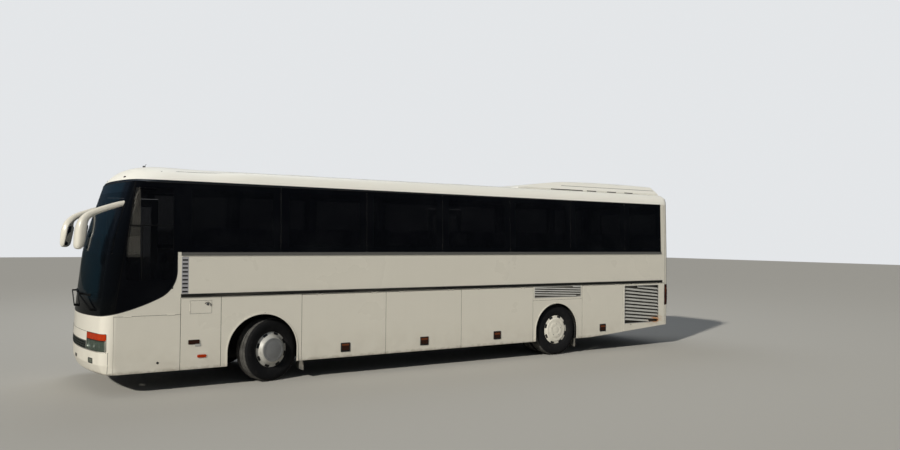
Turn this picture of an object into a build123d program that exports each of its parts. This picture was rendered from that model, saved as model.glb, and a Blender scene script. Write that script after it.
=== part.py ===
from build123d import *
import os
from math import cos, radians, sin, sqrt

os.makedirs("parts", exist_ok=True)

# A two-axle touring coach, in millimetres: +X ahead, +Y to the driver's side, +Z up.
# The origin is on the ground, halfway along from the tail to the mirrors.
LENGTH = 12000
WIDTH = 2500
WHEELBASE = 6080
FRONT_OVERHANG = 2660
MIRROR_REACH = 222

X_TAIL = -(LENGTH + MIRROR_REACH) / 2
X_NOSE = X_TAIL + LENGTH
X_FRONT = X_NOSE - FRONT_OVERHANG
X_REAR = X_FRONT - WHEELBASE
SIDE_Y = WIDTH / 2

# Skin and gaps
WALL = 50
GLASS = 12
GAP = 8
GROOVE_DEPTH = 10

# Heights of the side's lines
SILL_Z = 308
TAIL_SILL_Z = 470
FLAP_TOP_Z = 1390
RUB_Z = 1405
RUB_HEIGHT = 52
RUB_PROUD = 12
WAIST_Z = 2040
TRIM_HEIGHT = 52
GLASS_Z = WAIST_Z + TRIM_HEIGHT
GLASS_TOP_Z = 3146
CROWN_Z = 3420
BUMPER_TOP_Z = 640
GLASS_FOOT_Z = 1138

# Lengthwise lines of the side, from the front and rear axles
X_CORNER = X_FRONT + 2346
X_BUMPER_EDGE = X_FRONT + 2413
X_DRIVER = X_FRONT + 1452
X_SERVICE = X_FRONT + 1398
X_FUEL = X_FRONT + 782
X_BAY_1 = X_FRONT - 554
X_BAY_2 = X_FRONT - 2126
X_BAY_3 = X_FRONT - 3722
X_BAY_END = X_REAR + 646
X_REAR_PANEL = X_REAR - 663
X_GRILLE = X_REAR - 1839
X_SILL_RISE = X_REAR - 900
X_GLASS_REAR = X_TAIL + 245
X_TAIL_CORNER = X_TAIL + 130

# Wheel arches: place of the centre from its axle, height and radius
FRONT_ARCH_SHIFT = 102
FRONT_ARCH_Z = 525
FRONT_ARCH_R = 575
REAR_ARCH_SHIFT = 30
REAR_ARCH_Z = 506
REAR_ARCH_R = 542
ARCH_SKIN = 16
ARCH_RELIEF = 60
ARCH_LIP = 20
ARCH_LIP_PROUD = 7

# Body form by height: height, setback of the nose, half width, bow of the front, corner radius
LEVELS = (
    (240, 150, SIDE_Y - 35, 175, 190),
    (330, 50, SIDE_Y - 4, 175, 220),
    (450, 6, SIDE_Y, 175, 220),
    (700, 0, SIDE_Y, 175, 220),
    (1170, 22, SIDE_Y, 175, 220),
    (1500, 55, SIDE_Y, 173, 215),
    (1800, 88, SIDE_Y, 170, 210),
    (2050, 118, SIDE_Y, 167, 205),
    (2300, 165, SIDE_Y - 7, 163, 195),
    (2600, 250, SIDE_Y - 15, 158, 180),
    (3150, 425, SIDE_Y - 30, 150, 160),
    (3600, 568, SIDE_Y - 42, 145, 150),
)
TAIL_RADIUS = 100
ROOF_CORNER_R = 300
ROOF_CORNER_Z = 3070
ROOF_HALF = SIDE_Y - 20
ROOF_TURN = 84
BROW_RUN = 600
BROW_Z = 3350
LIP_Z = 3172
LIP_SETBACK = 425
ROOF_END_R = 90

# Wheels and axles
TYRE_R = 510
TYRE_WIDTH = 295
RIM_R = 286
HUB_Z = TYRE_R
KINGPIN_R = 22
FORK_HALF = 105
LUG = 28
FRONT_WHEEL_Y = 1040
KINGPIN_Y = 860
STEER_AT_REST = 14
REAR_OUTER_Y = 1055
TWIN_SPACING = 335

# Doors on the entrance side
DOOR_WIDTH = 850
DOOR_FOOT_Z = 335
DOOR_TOP_Z = 2980
X_DOOR = X_FRONT + 2040
X_MID_DOOR = X_BAY_END + 100
DOOR_SWING = 145
ARM_POST_IN = 40
ARM_POST_Y = SIDE_Y - 130
ARM_END_Y = SIDE_Y - 150
ARM_CRANK = 200

# Floors
DECK_Z = 1360
DECK = 40
COCKPIT_Z = 940
BAY_FLOOR_Z = 370
WINDSCREEN_X = X_FRONT + 2420
DRIVER_Y = 660
X_DRIVER_SEAT = X_FRONT + 2080
STEERING_WHEEL_R = 225


def plan_face(level, inset):
    """Outline of the body at one height, seen from above."""
    height, setback, half_width, bow, corner = level
    nose = X_NOSE - setback - inset
    tail = X_TAIL + inset
    half = half_width - inset
    with BuildSketch(Plane.XY.offset(height)) as outline:
        with BuildLine():
            front = ThreePointArc((nose - bow, -half), (nose, 0), (nose - bow, half))
            Polyline(front @ 1, (tail, half), (tail, -half), front @ 0)
        make_face()
        fillet(outline.vertices().group_by(Axis.X)[-1], corner - inset)
        fillet(outline.vertices().group_by(Axis.X)[0], TAIL_RADIUS - inset)
    return outline.sketch


def coach_form(inset):
    """Closed form of the whole body, drawn in by an inset; an inner form is open below."""
    sill_drop = 60 if inset else 0
    corner_y = ROOF_HALF - ROOF_CORNER_R
    corner_r = ROOF_CORNER_R - inset
    with BuildPart() as form:
        for level in LEVELS:
            add(plan_face(level, inset))
        loft(ruled=True)
        with BuildSketch(Plane.YZ.offset(X_TAIL - 100)):
            with BuildLine():
                left = CenterArc((corner_y, ROOF_CORNER_Z), corner_r, 0, ROOF_TURN)
                right = CenterArc((-corner_y, ROOF_CORNER_Z), corner_r, 180 - ROOF_TURN, ROOF_TURN)
                ThreePointArc(left @ 1, (0, CROWN_Z - inset), right @ 0)
                wide = ROOF_HALF + 200
                Polyline(right @ 1, (-wide, ROOF_CORNER_Z - 200), (-wide, 0), (wide, 0),
                         (wide, ROOF_CORNER_Z - 200), left @ 0)
            make_face()
        extrude(amount=LENGTH + 200, mode=Mode.INTERSECT)
        with BuildSketch(Plane.XZ) as profile:
            with BuildLine():
                flat_z = CROWN_Z + 12 - inset
                lip = (X_NOSE - LIP_SETBACK - inset, LIP_Z - inset)
                brow = (lip[0] - 180, BROW_Z - inset)
                roof = Line((X_TAIL + inset, flat_z), (brow[0] - BROW_RUN, flat_z))
                slope = TangentArc(roof @ 1, brow, tangent=roof % 1)
                TangentArc(slope @ 1, lip, tangent=slope % 1)
                Polyline(lip, (X_NOSE + 100, lip[1]), (X_NOSE + 100, SILL_Z - sill_drop),
                         (X_SILL_RISE, SILL_Z - sill_drop), (X_TAIL + inset, TAIL_SILL_Z - sill_drop),
                         roof @ 0)
            make_face()
            fillet(profile.vertices().group_by(Axis.X)[0].sort_by(Axis.Y)[-1], ROOF_END_R - inset)
        extrude(amount=SIDE_Y + 100, both=True, mode=Mode.INTERSECT)
    return form.part


def block(x0, x1, y0, y1, z0, z1, mode=Mode.ADD):
    """A box between its limits, added to or cut from the piece being made."""
    with Locations(((x0 + x1) / 2, (y0 + y1) / 2, (z0 + z1) / 2)):
        Box(abs(x1 - x0), abs(y1 - y0), abs(z1 - z0), mode=mode)


def side_prism(outline, y_in=600, y_out=SIDE_Y + 100, side=1):
    """A side-view outline made into a prism over one side of the body: 1 left, -1 right."""
    start = y_out if side > 0 else -y_in
    with BuildPart() as prism:
        with BuildSketch(Plane.XZ.offset(-start)):
            add(outline)
        extrude(amount=y_out - y_in)
    return prism.part


def side_box(x0, x1, z0, z1, side=1, y_in=600, y_out=SIDE_Y + 100):
    """A rectangle of the side view made into a prism over one side."""
    y0, y1 = (y_in, y_out) if side > 0 else (-y_out, -y_in)
    with BuildPart() as prism:
        block(x0, x1, y0, y1, z0, z1)
    return prism.part


def finish(builder, name):
    """Label a piece and write it."""
    builder.part.label = name
    export_step(builder.part, f"parts/{name}.step")


outer_form = coach_form(0)
glass_form = coach_form(GLASS)
inner_form = coach_form(WALL)

with BuildPart() as wall_skin:
    add(outer_form)
    add(inner_form, mode=Mode.SUBTRACT)

with BuildPart() as glass_skin:
    add(outer_form)
    add(glass_form, mode=Mode.SUBTRACT)


def skin_zone(skin, x0, x1, y0, y1, z0, z1):
    """The stretch of a skin inside a box."""
    with BuildPart() as zone:
        add(skin.part)
        block(x0, x1, y0, y1, z0, z1, Mode.INTERSECT)
    return zone.part


WALL_SKIN = {side: skin_zone(wall_skin, X_TAIL_CORNER, X_NOSE, 0, side * WIDTH, 0, GLASS_TOP_Z)
             for side in (1, -1)}
GLASS_SKIN = {side: skin_zone(glass_skin, X_TAIL_CORNER, X_NOSE, 0, side * WIDTH, 0, GLASS_TOP_Z)
              for side in (1, -1)}
NOSE_SKIN = skin_zone(wall_skin, X_CORNER, X_NOSE + 50, -WIDTH, WIDTH, 0, GLASS_TOP_Z)
TAIL_SKIN = skin_zone(wall_skin, X_TAIL - 50, X_TAIL_CORNER, -WIDTH, WIDTH, 0, GLASS_TOP_Z)

# Glass outlines in side view: one sweep from the windscreen's foot up to the waist
A_PILLAR_FOOT = (X_FRONT + 2345, GLASS_FOOT_Z - 60)
A_PILLAR_HEAD = (X_FRONT + 2050, GLASS_TOP_Z + 60)


def glass_sweep(x_rear):
    """All the glass of one side and the front, in side view."""
    with BuildSketch(mode=Mode.PRIVATE) as sweep:
        with BuildLine():
            post = Line((X_DRIVER, GLASS_Z), (X_DRIVER, GLASS_Z - 290))
            bend = TangentArc(post @ 1, (X_DRIVER + 248, GLASS_Z - 685), tangent=post % 1)
            foot = TangentArc(bend @ 1, (X_NOSE, GLASS_FOOT_Z), tangent=bend % 1)
            Polyline(foot @ 1, (X_NOSE + 100, GLASS_FOOT_Z), (X_NOSE + 100, GLASS_TOP_Z),
                     (x_rear, GLASS_TOP_Z), (x_rear, GLASS_Z), post @ 0)
        make_face()
    return sweep.sketch


with BuildSketch() as windscreen_half:
    with BuildLine():
        Polyline(A_PILLAR_FOOT, A_PILLAR_HEAD, (X_NOSE + 100, A_PILLAR_HEAD[1]),
                 (X_NOSE + 100, A_PILLAR_FOOT[1]), close=True)
    make_face()

with BuildSketch() as windscreen_side:
    add(glass_sweep(X_GLASS_REAR))
    add(windscreen_half.sketch, mode=Mode.INTERSECT)

with BuildPart() as windscreen:
    add(glass_skin.part)
    add(side_prism(windscreen_side.sketch, -SIDE_Y - 100, SIDE_Y + 100), mode=Mode.INTERSECT)
finish(windscreen, "windscreen")

# Side glass: window posts by their place from the front axle
WINDOW_POSTS = (1452, -180, -1740, -3300, -4860, -6420, -7980)
POST_WIDTH = 90
PANE_GAP = 6

with BuildSketch() as side_panes:
    add(glass_sweep(X_GLASS_REAR))
    add(windscreen_half.sketch, mode=Mode.SUBTRACT)

# Panes of the two sides and the rear; the right ones stop round the doors
DOORS = ((X_DOOR - DOOR_WIDTH, X_DOOR), (X_MID_DOOR, X_MID_DOOR + DOOR_WIDTH))
REAR_WINDOW = (-980, 980, 2080, 3000)

with BuildPart() as windows:
    for side in (1, -1):
        add(GLASS_SKIN[side])
    add(side_prism(side_panes.sketch, -SIDE_Y - 100, SIDE_Y + 100), mode=Mode.INTERSECT)
    for post in WINDOW_POSTS[1:]:
        block(X_FRONT + post - PANE_GAP / 2, X_FRONT + post + PANE_GAP / 2, -WIDTH, WIDTH,
              GLASS_Z, GLASS_TOP_Z, Mode.SUBTRACT)
    for door_rear, door_front in DOORS:
        block(door_rear - GAP, door_front + GAP, -WIDTH, 0, 0, DOOR_TOP_Z + GAP, Mode.SUBTRACT)
    add(skin_zone(glass_skin, X_TAIL - 50, X_TAIL + 30, *REAR_WINDOW))
finish(windows, "windows")


def arch_outline(centre_x, centre_z, radius):
    """Opening of a wheel arch in side view, down past the sill."""
    with BuildSketch(mode=Mode.PRIVATE) as arch:
        with Locations((centre_x, centre_z)):
            Circle(radius)
        with Locations((centre_x, centre_z / 2)):
            Rectangle(2 * radius, centre_z)
    return arch.sketch


FRONT_ARCH = (X_FRONT + FRONT_ARCH_SHIFT, FRONT_ARCH_Z, FRONT_ARCH_R)
REAR_ARCH = (X_REAR + REAR_ARCH_SHIFT, REAR_ARCH_Z, REAR_ARCH_R)


def arch_lip(centre_x, centre_z, radius):
    """Flange round a wheel arch, from the sill over the top."""
    with BuildSketch(mode=Mode.PRIVATE) as lip:
        add(arch_outline(centre_x, centre_z, radius + ARCH_LIP))
        add(arch_outline(centre_x, centre_z, radius), mode=Mode.SUBTRACT)
        with Locations((centre_x, 0)):
            Rectangle(3 * radius, 2 * (SILL_Z + GAP), mode=Mode.SUBTRACT)
    return lip.sketch


# Flaps: name, side, rear end, front end, lower edge, upper edge
FLAPS = (
    ("luggage_flap_left_1", 1, X_BAY_2, X_BAY_1, 0, FLAP_TOP_Z),
    ("luggage_flap_left_2", 1, X_BAY_3, X_BAY_2, 0, FLAP_TOP_Z),
    ("luggage_flap_left_3", 1, X_BAY_END, X_BAY_3, 0, FLAP_TOP_Z),
    ("luggage_flap_right_1", -1, X_BAY_2, X_BAY_1, 0, FLAP_TOP_Z),
    ("luggage_flap_right_2", -1, X_BAY_3, X_BAY_2, 0, FLAP_TOP_Z),
    ("service_flap_left", 1, X_SERVICE, X_CORNER, 0, 1150),
    ("rear_flap_left", 1, X_GRILLE, X_REAR_PANEL, 0, FLAP_TOP_Z),
    ("grille_flap_left", 1, X_TAIL_CORNER, X_GRILLE, 0, FLAP_TOP_Z),
    ("grille_flap_right", -1, X_TAIL_CORNER, X_GRILLE, 0, FLAP_TOP_Z),
)
MASK_TOP_Z = GLASS_FOOT_Z + 90
PILLAR_IN = SIDE_Y - 190
FUEL_FLAP = (X_FRONT + 928, X_FRONT + 1258, 1152, 1350)


# Hinges: barrel and pin radius, length of the moving barrel and of each fixed lug, plays
HINGE_R = 7
HINGE_PIN_R = 3
HINGE_BARREL = 60
HINGE_LUG = 25
HINGE_END_PLAY = 1
HINGE_ROOM = 6
PIN_PLAY = 0.1
HINGE_PLACES = (0.15, 0.8)
LUG_AT = (HINGE_BARREL + HINGE_LUG) / 2 + HINGE_END_PLAY


def hinge_leaf(line):
    """Bored barrel of the moving leaf, with room cut round the fixed lugs."""
    with Locations(line.offset(LUG_AT), line.offset(-LUG_AT)):
        Cylinder(HINGE_R + HINGE_ROOM, HINGE_LUG + 2 * HINGE_END_PLAY, mode=Mode.SUBTRACT)
    with Locations(line):
        Cylinder(HINGE_R, HINGE_BARREL)
        Cylinder(HINGE_PIN_R + PIN_PLAY, HINGE_BARREL, mode=Mode.SUBTRACT)


def hinge_frame(line):
    """Fixed lugs and pin of a hinge, with room cut round the moving barrel."""
    with Locations(line):
        Cylinder(HINGE_R + HINGE_ROOM, HINGE_BARREL + 2 * HINGE_END_PLAY, mode=Mode.SUBTRACT)
        Cylinder(HINGE_PIN_R, 2 * LUG_AT + HINGE_LUG)
    with Locations(line.offset(LUG_AT), line.offset(-LUG_AT)):
        Cylinder(HINGE_R, HINGE_LUG)


def top_hinges(side, x0, x1, height):
    """Hinge lines along the upper edge of a flap."""
    return [Plane(origin=(x0 + place * (x1 - x0), side * SIDE_Y, height), z_dir=(1, 0, 0))
            for place in HINGE_PLACES]


def flap_zone(side, x0, x1, z0, z1, play):
    """The part of the skin that a flap takes, with play all round."""
    return side_box(x0 + play, x1 - play, z0 - 50, z1 - play, side)


# Lamps and reflectors that flaps carry: ahead of the front axle, height
FLAP_LAMPS = ((-1349, 476), (-2918, 484), (-4554, 493), (-7324, 493))
FLAP_LAMP_HALF = 58
FLAP_LAMP_PROUD = 8
LOUVRE_COUNT = 11
LOUVRE_PITCH = 74
LOUVRE_OPEN = 34
LOUVRE_FOOT_Z = 560

for flap_name, side, x0, x1, z0, z1 in FLAPS:
    with BuildPart() as flap:
        add(WALL_SKIN[side])
        add(flap_zone(side, x0, x1, z0, z1, GAP / 2), mode=Mode.INTERSECT)
        if "grille" in flap_name:
            for louvre in range(LOUVRE_COUNT):
                z = LOUVRE_FOOT_Z + LOUVRE_PITCH * louvre
                block(x0 + 90, x1 - 60, 0, side * WIDTH, z, z + LOUVRE_OPEN, Mode.SUBTRACT)
        for from_axle, height in FLAP_LAMPS:
            lamp_x = X_FRONT + from_axle
            if x0 < lamp_x < x1:
                block(lamp_x - FLAP_LAMP_HALF, lamp_x + FLAP_LAMP_HALF, side * (SIDE_Y - 10),
                      side * (SIDE_Y + FLAP_LAMP_PROUD), height - FLAP_LAMP_HALF / 2,
                      height + FLAP_LAMP_HALF / 2)
        for line in top_hinges(side, x0, x1, z1):
            hinge_leaf(line)
    finish(flap, flap_name)

FUEL_LINE = Plane(origin=(FUEL_FLAP[1], SIDE_Y, (FUEL_FLAP[2] + FUEL_FLAP[3]) / 2), z_dir=(0, 0, 1))
FUEL_POCKET = 40
with BuildPart() as fuel_flap:
    add(GLASS_SKIN[1])
    add(side_box(FUEL_FLAP[0] + GAP / 2, FUEL_FLAP[1] - GAP / 2, FUEL_FLAP[2] + GAP / 2,
                 FUEL_FLAP[3] - GAP / 2), mode=Mode.INTERSECT)
    hinge_leaf(FUEL_LINE)
finish(fuel_flap, "fuel_flap")

# Air slots in the fixed side: rear and front end, lowest slot, pitch, count, height of a slot
WHEEL_LOUVRE = (X_FRONT - 6680, X_FRONT - 5480, 1190, 52, 4, 22)
PILLAR_SLOTS = (X_FRONT + 1296, X_FRONT + 1380, 1480, 60, 9, 24)
LOUVRE_LINE = (X_FRONT - 6740, X_FRONT - 5430, 1120)

# Small lamp behind the entrance door and its twin: ahead of the front axle, height, half length
SIDE_REFLECTOR = (1072, 509, 42)


def side_wall(side):
    """Pillars, waist, cant rail and the fixed lower panels of one side."""
    outside = side * WIDTH
    glass_margin = (GLASS_Z + 30, GLASS_TOP_Z - 60)
    with BuildPart() as wall:
        add(WALL_SKIN[side])
        block(X_CORNER, X_NOSE, 0, outside, 0, MASK_TOP_Z, Mode.SUBTRACT)
        block(X_DRIVER + 300, X_NOSE, -PILLAR_IN, PILLAR_IN, 0, GLASS_TOP_Z, Mode.SUBTRACT)
        add(windows.part, mode=Mode.SUBTRACT)
        add(windscreen.part, mode=Mode.SUBTRACT)
        for arch in (FRONT_ARCH, REAR_ARCH):
            add(side_prism(arch_outline(*arch), side=side), mode=Mode.SUBTRACT)
        relief = arch_outline(*FRONT_ARCH[:2], FRONT_ARCH_R + ARCH_RELIEF)
        add(side_prism(relief, y_out=SIDE_Y - ARCH_SKIN, side=side), mode=Mode.SUBTRACT)
        for flap_name, flap_side, x_rear, x_front, z_low, z_high in FLAPS:
            if flap_side == side:
                add(flap_zone(side, x_rear, x_front, z_low, z_high, -GAP / 2), mode=Mode.SUBTRACT)
        rear = X_GLASS_REAR + POST_WIDTH
        for post in reversed(WINDOW_POSTS[1:]):
            front = X_FRONT + post - POST_WIDTH / 2
            block(rear, front, 0, outside, *glass_margin, Mode.SUBTRACT)
            rear = X_FRONT + post + POST_WIDTH / 2
        block(rear, X_SERVICE - 20, 0, outside, *glass_margin, Mode.SUBTRACT)
        if side > 0:
            block(X_DRIVER + 60, A_PILLAR_HEAD[0] - 60, 0, outside, GLASS_FOOT_Z + 400,
                  GLASS_TOP_Z - 60, Mode.SUBTRACT)
            block(FUEL_FLAP[0] - GAP / 2, FUEL_FLAP[1] + GAP / 2, SIDE_Y - FUEL_POCKET, WIDTH,
                  FUEL_FLAP[2] - GAP / 2, FUEL_FLAP[3] + GAP / 2, Mode.SUBTRACT)
            hinge_frame(FUEL_LINE)
            slots = (WHEEL_LOUVRE, PILLAR_SLOTS)
        else:
            slots = (WHEEL_LOUVRE,)
            for door_rear, door_front in DOORS:
                block(door_rear - GAP, door_front + GAP, 0, outside, 0, DOOR_TOP_Z + GAP, Mode.SUBTRACT)
        for x_rear, x_front, foot, pitch, count, open_z in slots:
            for slot in range(count):
                block(x_rear, x_front, side * (SIDE_Y - 20), outside, foot + slot * pitch,
                      foot + slot * pitch + open_z, Mode.SUBTRACT)
        block(LOUVRE_LINE[0], LOUVRE_LINE[1], side * (SIDE_Y - GROOVE_DEPTH), outside, LOUVRE_LINE[2],
              LOUVRE_LINE[2] + GAP / 2, Mode.SUBTRACT)
        for line in (X_SERVICE, X_FUEL, X_BAY_1, X_BAY_END, X_REAR_PANEL):
            block(line - GAP / 2, line + GAP / 2, side * (SIDE_Y - GROOVE_DEPTH),
                  side * (SIDE_Y + 50), 0, RUB_Z, Mode.SUBTRACT)
        for flap_name, flap_side, x_rear, x_front, z_low, z_high in FLAPS:
            if flap_side == side:
                for line in top_hinges(side, x_rear, x_front, z_high):
                    hinge_frame(line)
        for arch in (FRONT_ARCH, REAR_ARCH):
            add(side_prism(arch_lip(*arch), SIDE_Y - ARCH_SKIN, SIDE_Y + ARCH_LIP_PROUD, side))
    return wall


finish(side_wall(1), "side_wall_left")
finish(side_wall(-1), "side_wall_right")

# Front mask, bumper and lamps
LAMP_INNER_Y = 650
LAMP_TOP_Z = 905
LAMP_REAR_X = X_BUMPER_EDGE + 35
FOG_LAMP = (740, 900, 462, 522)

# Air intake between the head lamps: half width, lowest slot, pitch, count, height of a slot
INTAKE = (615, 652, 34, 3, 24)

TAIL_LAMP = (985, 1180, 905, 1365)

with BuildPart() as lamp_zones:
    for side in (1, -1):
        block(LAMP_REAR_X, X_NOSE + 50, side * LAMP_INNER_Y, side * (SIDE_Y + 50),
              BUMPER_TOP_Z + 6, LAMP_TOP_Z)
        block(LAMP_REAR_X, X_NOSE + 50, side * FOG_LAMP[0], side * FOG_LAMP[1],
              FOG_LAMP[2], FOG_LAMP[3])
        block(X_TAIL - 50, X_TAIL + 60, side * TAIL_LAMP[0], side * TAIL_LAMP[1],
              TAIL_LAMP[2], TAIL_LAMP[3])

# All lamps on the fixed body: head lamps, tail lamps and the side reflectors
with BuildPart() as lamps:
    add(NOSE_SKIN)
    add(TAIL_SKIN)
    add(lamp_zones.part, mode=Mode.INTERSECT)
    for side in (1, -1):
        from_axle, height, half = SIDE_REFLECTOR
        block(X_FRONT + from_axle - half, X_FRONT + from_axle + half, side * SIDE_Y,
              side * (SIDE_Y + FLAP_LAMP_PROUD), height - half / 2, height + half / 2)
finish(lamps, "lamps")

with BuildPart() as front_bumper:
    add(NOSE_SKIN)
    block(X_BUMPER_EDGE, X_NOSE + 50, -WIDTH, WIDTH, 0, BUMPER_TOP_Z, Mode.INTERSECT)
    add(lamps.part, mode=Mode.SUBTRACT)
finish(front_bumper, "front_bumper")

with BuildPart() as front_mask:
    add(NOSE_SKIN)
    block(X_CORNER, X_NOSE + 50, -WIDTH, WIDTH, 0, MASK_TOP_Z, Mode.INTERSECT)
    add(windscreen.part, mode=Mode.SUBTRACT)
    add(front_bumper.part, mode=Mode.SUBTRACT)
    add(lamps.part, mode=Mode.SUBTRACT)
    add(windows.part, mode=Mode.SUBTRACT)
    half_width, foot, pitch, count, open_z = INTAKE
    for slot in range(count):
        block(X_CORNER, X_NOSE + 50, -half_width, half_width, foot + slot * pitch,
              foot + slot * pitch + open_z, Mode.SUBTRACT)
finish(front_mask, "front_mask")

# Roof: the crown between its seams and the rounded side panels
ROOF_SEAM_Y = 990
with BuildPart() as roof_shell:
    add(wall_skin.part)
    block(X_TAIL - 50, X_NOSE, -ROOF_SEAM_Y, ROOF_SEAM_Y, GLASS_TOP_Z, CROWN_Z + 50, Mode.INTERSECT)
finish(roof_shell, "roof_shell")

with BuildPart() as roof_sides:
    add(wall_skin.part)
    block(X_TAIL - 50, X_NOSE, -WIDTH, WIDTH, GLASS_TOP_Z, CROWN_Z + 50, Mode.INTERSECT)
    block(X_TAIL - 50, X_NOSE, -ROOF_SEAM_Y, ROOF_SEAM_Y, 0, CROWN_Z + 50, Mode.SUBTRACT)
finish(roof_sides, "roof_sides")

# Roof hatches over the aisle
HATCH_HALF = 300
HATCH_PROUD = 5
with BuildPart() as roof_hatches:
    for hatch_x in (X_FRONT - 900, X_FRONT - 4300):
        block(hatch_x - HATCH_HALF, hatch_x + HATCH_HALF, -HATCH_HALF, HATCH_HALF, CROWN_Z - 60,
              CROWN_Z + HATCH_PROUD)
    fillet(roof_hatches.edges().filter_by(Axis.Z), 60)
    add(outer_form, mode=Mode.SUBTRACT)
finish(roof_hatches, "roof_hatches")

# Rear end
REAR_BUMPER_TOP = 790
COVER = (-900, 900, 830, 1780)
COVER_LINES = [Plane(origin=(X_TAIL, y, COVER[3]), z_dir=(0, 1, 0)) for y in (-600, 600)]

with BuildPart() as rear_bumper:
    add(TAIL_SKIN)
    block(X_TAIL - 50, X_TAIL_CORNER, -WIDTH, WIDTH, 0, REAR_BUMPER_TOP, Mode.INTERSECT)
finish(rear_bumper, "rear_bumper")

with BuildPart() as engine_cover:
    add(TAIL_SKIN)
    block(X_TAIL - 50, X_TAIL + 60, COVER[0] + GAP / 2, COVER[1] - GAP / 2, COVER[2] + GAP / 2,
          COVER[3] - GAP / 2, Mode.INTERSECT)
    for slat in range(6):
        z = 1000 + 60 * slat
        block(X_TAIL - 50, X_TAIL + 60, -600, 600, z, z + 26, Mode.SUBTRACT)
    for line in COVER_LINES:
        hinge_leaf(line)
finish(engine_cover, "engine_cover")

with BuildPart() as rear_wall:
    add(TAIL_SKIN)
    block(X_TAIL - 50, X_TAIL_CORNER, -WIDTH, WIDTH, REAR_BUMPER_TOP, GLASS_TOP_Z, Mode.INTERSECT)
    add(windows.part, mode=Mode.SUBTRACT)
    add(lamps.part, mode=Mode.SUBTRACT)
    block(X_TAIL - 50, X_TAIL + 100, COVER[0] - GAP / 2, COVER[1] + GAP / 2, COVER[2] - GAP / 2,
          COVER[3] + GAP / 2, Mode.SUBTRACT)
    block(X_TAIL - 50, X_TAIL + 100, REAR_WINDOW[0] + 50, REAR_WINDOW[1] - 50,
          REAR_WINDOW[2] + 50, REAR_WINDOW[3] - 50, Mode.SUBTRACT)
    for line in COVER_LINES:
        hinge_frame(line)
finish(rear_wall, "rear_wall")

# Roof unit of the air conditioning: side view points by distance from the tail, height above crown
with BuildPart() as air_conditioner:
    with BuildSketch(Plane.XZ):
        with BuildLine():
            nose = Line((X_TAIL + 4090, CROWN_Z - 60), (X_TAIL + 4070, CROWN_Z - 30))
            rise = ThreePointArc(nose @ 1, (X_TAIL + 3250, CROWN_Z + 95), (X_TAIL + 2400, CROWN_Z + 155))
            top = ThreePointArc(rise @ 1, (X_TAIL + 1300, CROWN_Z + 170), (X_TAIL + 130, CROWN_Z + 135))
            Polyline(top @ 1, (X_TAIL + 20, CROWN_Z - 60), nose @ 0)
        make_face()
    extrude(amount=960, both=True)
    with BuildSketch(Plane.YZ.offset(X_TAIL)):
        with BuildLine():
            Polyline((-960, CROWN_Z - 120), (-960, CROWN_Z - 20), (-820, CROWN_Z + 130),
                     (-600, CROWN_Z + 200), (600, CROWN_Z + 200), (820, CROWN_Z + 130),
                     (960, CROWN_Z - 20), (960, CROWN_Z - 120), close=True)
        make_face()
    extrude(amount=4200, mode=Mode.INTERSECT)
    add(outer_form, mode=Mode.SUBTRACT)
finish(air_conditioner, "air_conditioner")

# Side trims: rub strips on the flaps' upper line and the window sill strips
with BuildPart() as side_trims:
    for side in (1, -1):
        y = side * (SIDE_Y + RUB_PROUD / 2)
        block(X_TAIL_CORNER + 80, X_SERVICE, y - RUB_PROUD / 2, y + RUB_PROUD / 2, RUB_Z, RUB_Z + RUB_HEIGHT)
        block(X_TAIL_CORNER + 110, X_SERVICE, y - RUB_PROUD / 2, y + RUB_PROUD / 2, WAIST_Z,
              WAIST_Z + TRIM_HEIGHT)
    for door_rear, door_front in DOORS:
        block(door_rear - GAP, door_front + GAP, -WIDTH, 0, 0, GLASS_TOP_Z, Mode.SUBTRACT)
finish(side_trims, "side_trims")

# Mirrors: arm and housing in one lofted shell, from the upper corner of the windscreen.
# Sections: behind the foremost point, height, way down in degrees, thickness, width
MIRROR_Y = 1110
MIRROR_SET_BACK = {1: 0, -1: 110}
MIRROR_SECTIONS = (
    (802, 2815, 10, 104, 64),
    (632, 2784, 14, 104, 64),
    (398, 2705, 24, 122, 72),
    (278, 2655, 27, 130, 84),
    (177, 2601, 42, 132, 120),
    (122, 2520, 64, 124, 170),
    (98, 2409, 80, 134, 205),
    (60, 2245, 88, 120, 216),
    (52, 2165, 90, 90, 196),
    (55, 2124, 90, 46, 150),
)

with BuildPart() as mirrors:
    for side in (1, -1):
        tip = X_NOSE + MIRROR_REACH - MIRROR_SET_BACK[side]
        for behind, height, fall, thick, width in MIRROR_SECTIONS:
            way = (cos(radians(fall)), 0, -sin(radians(fall)))
            with BuildSketch(Plane(origin=(tip - behind, side * MIRROR_Y, height),
                                   x_dir=(0, 1, 0), z_dir=way)):
                Ellipse(width / 2, thick / 2)
        loft()
    add(outer_form, mode=Mode.SUBTRACT)
finish(mirrors, "mirrors")


def screen_point(y, height, ahead):
    """Point that far ahead of the windscreen's face, between its corners."""
    lower = max(level for level in LEVELS if level[0] <= height)
    upper = min(level for level in LEVELS if level[0] > height)
    faces = []
    for _, setback, half_width, bow, _ in (lower, upper):
        bow_r = (half_width ** 2 + bow ** 2) / (2 * bow)
        faces.append(X_NOSE - setback - bow_r + sqrt(bow_r ** 2 - y ** 2))
    share = (height - lower[0]) / (upper[0] - lower[0])
    return Vector(faces[0] + share * (faces[1] - faces[0]) + ahead, y, height)


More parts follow.
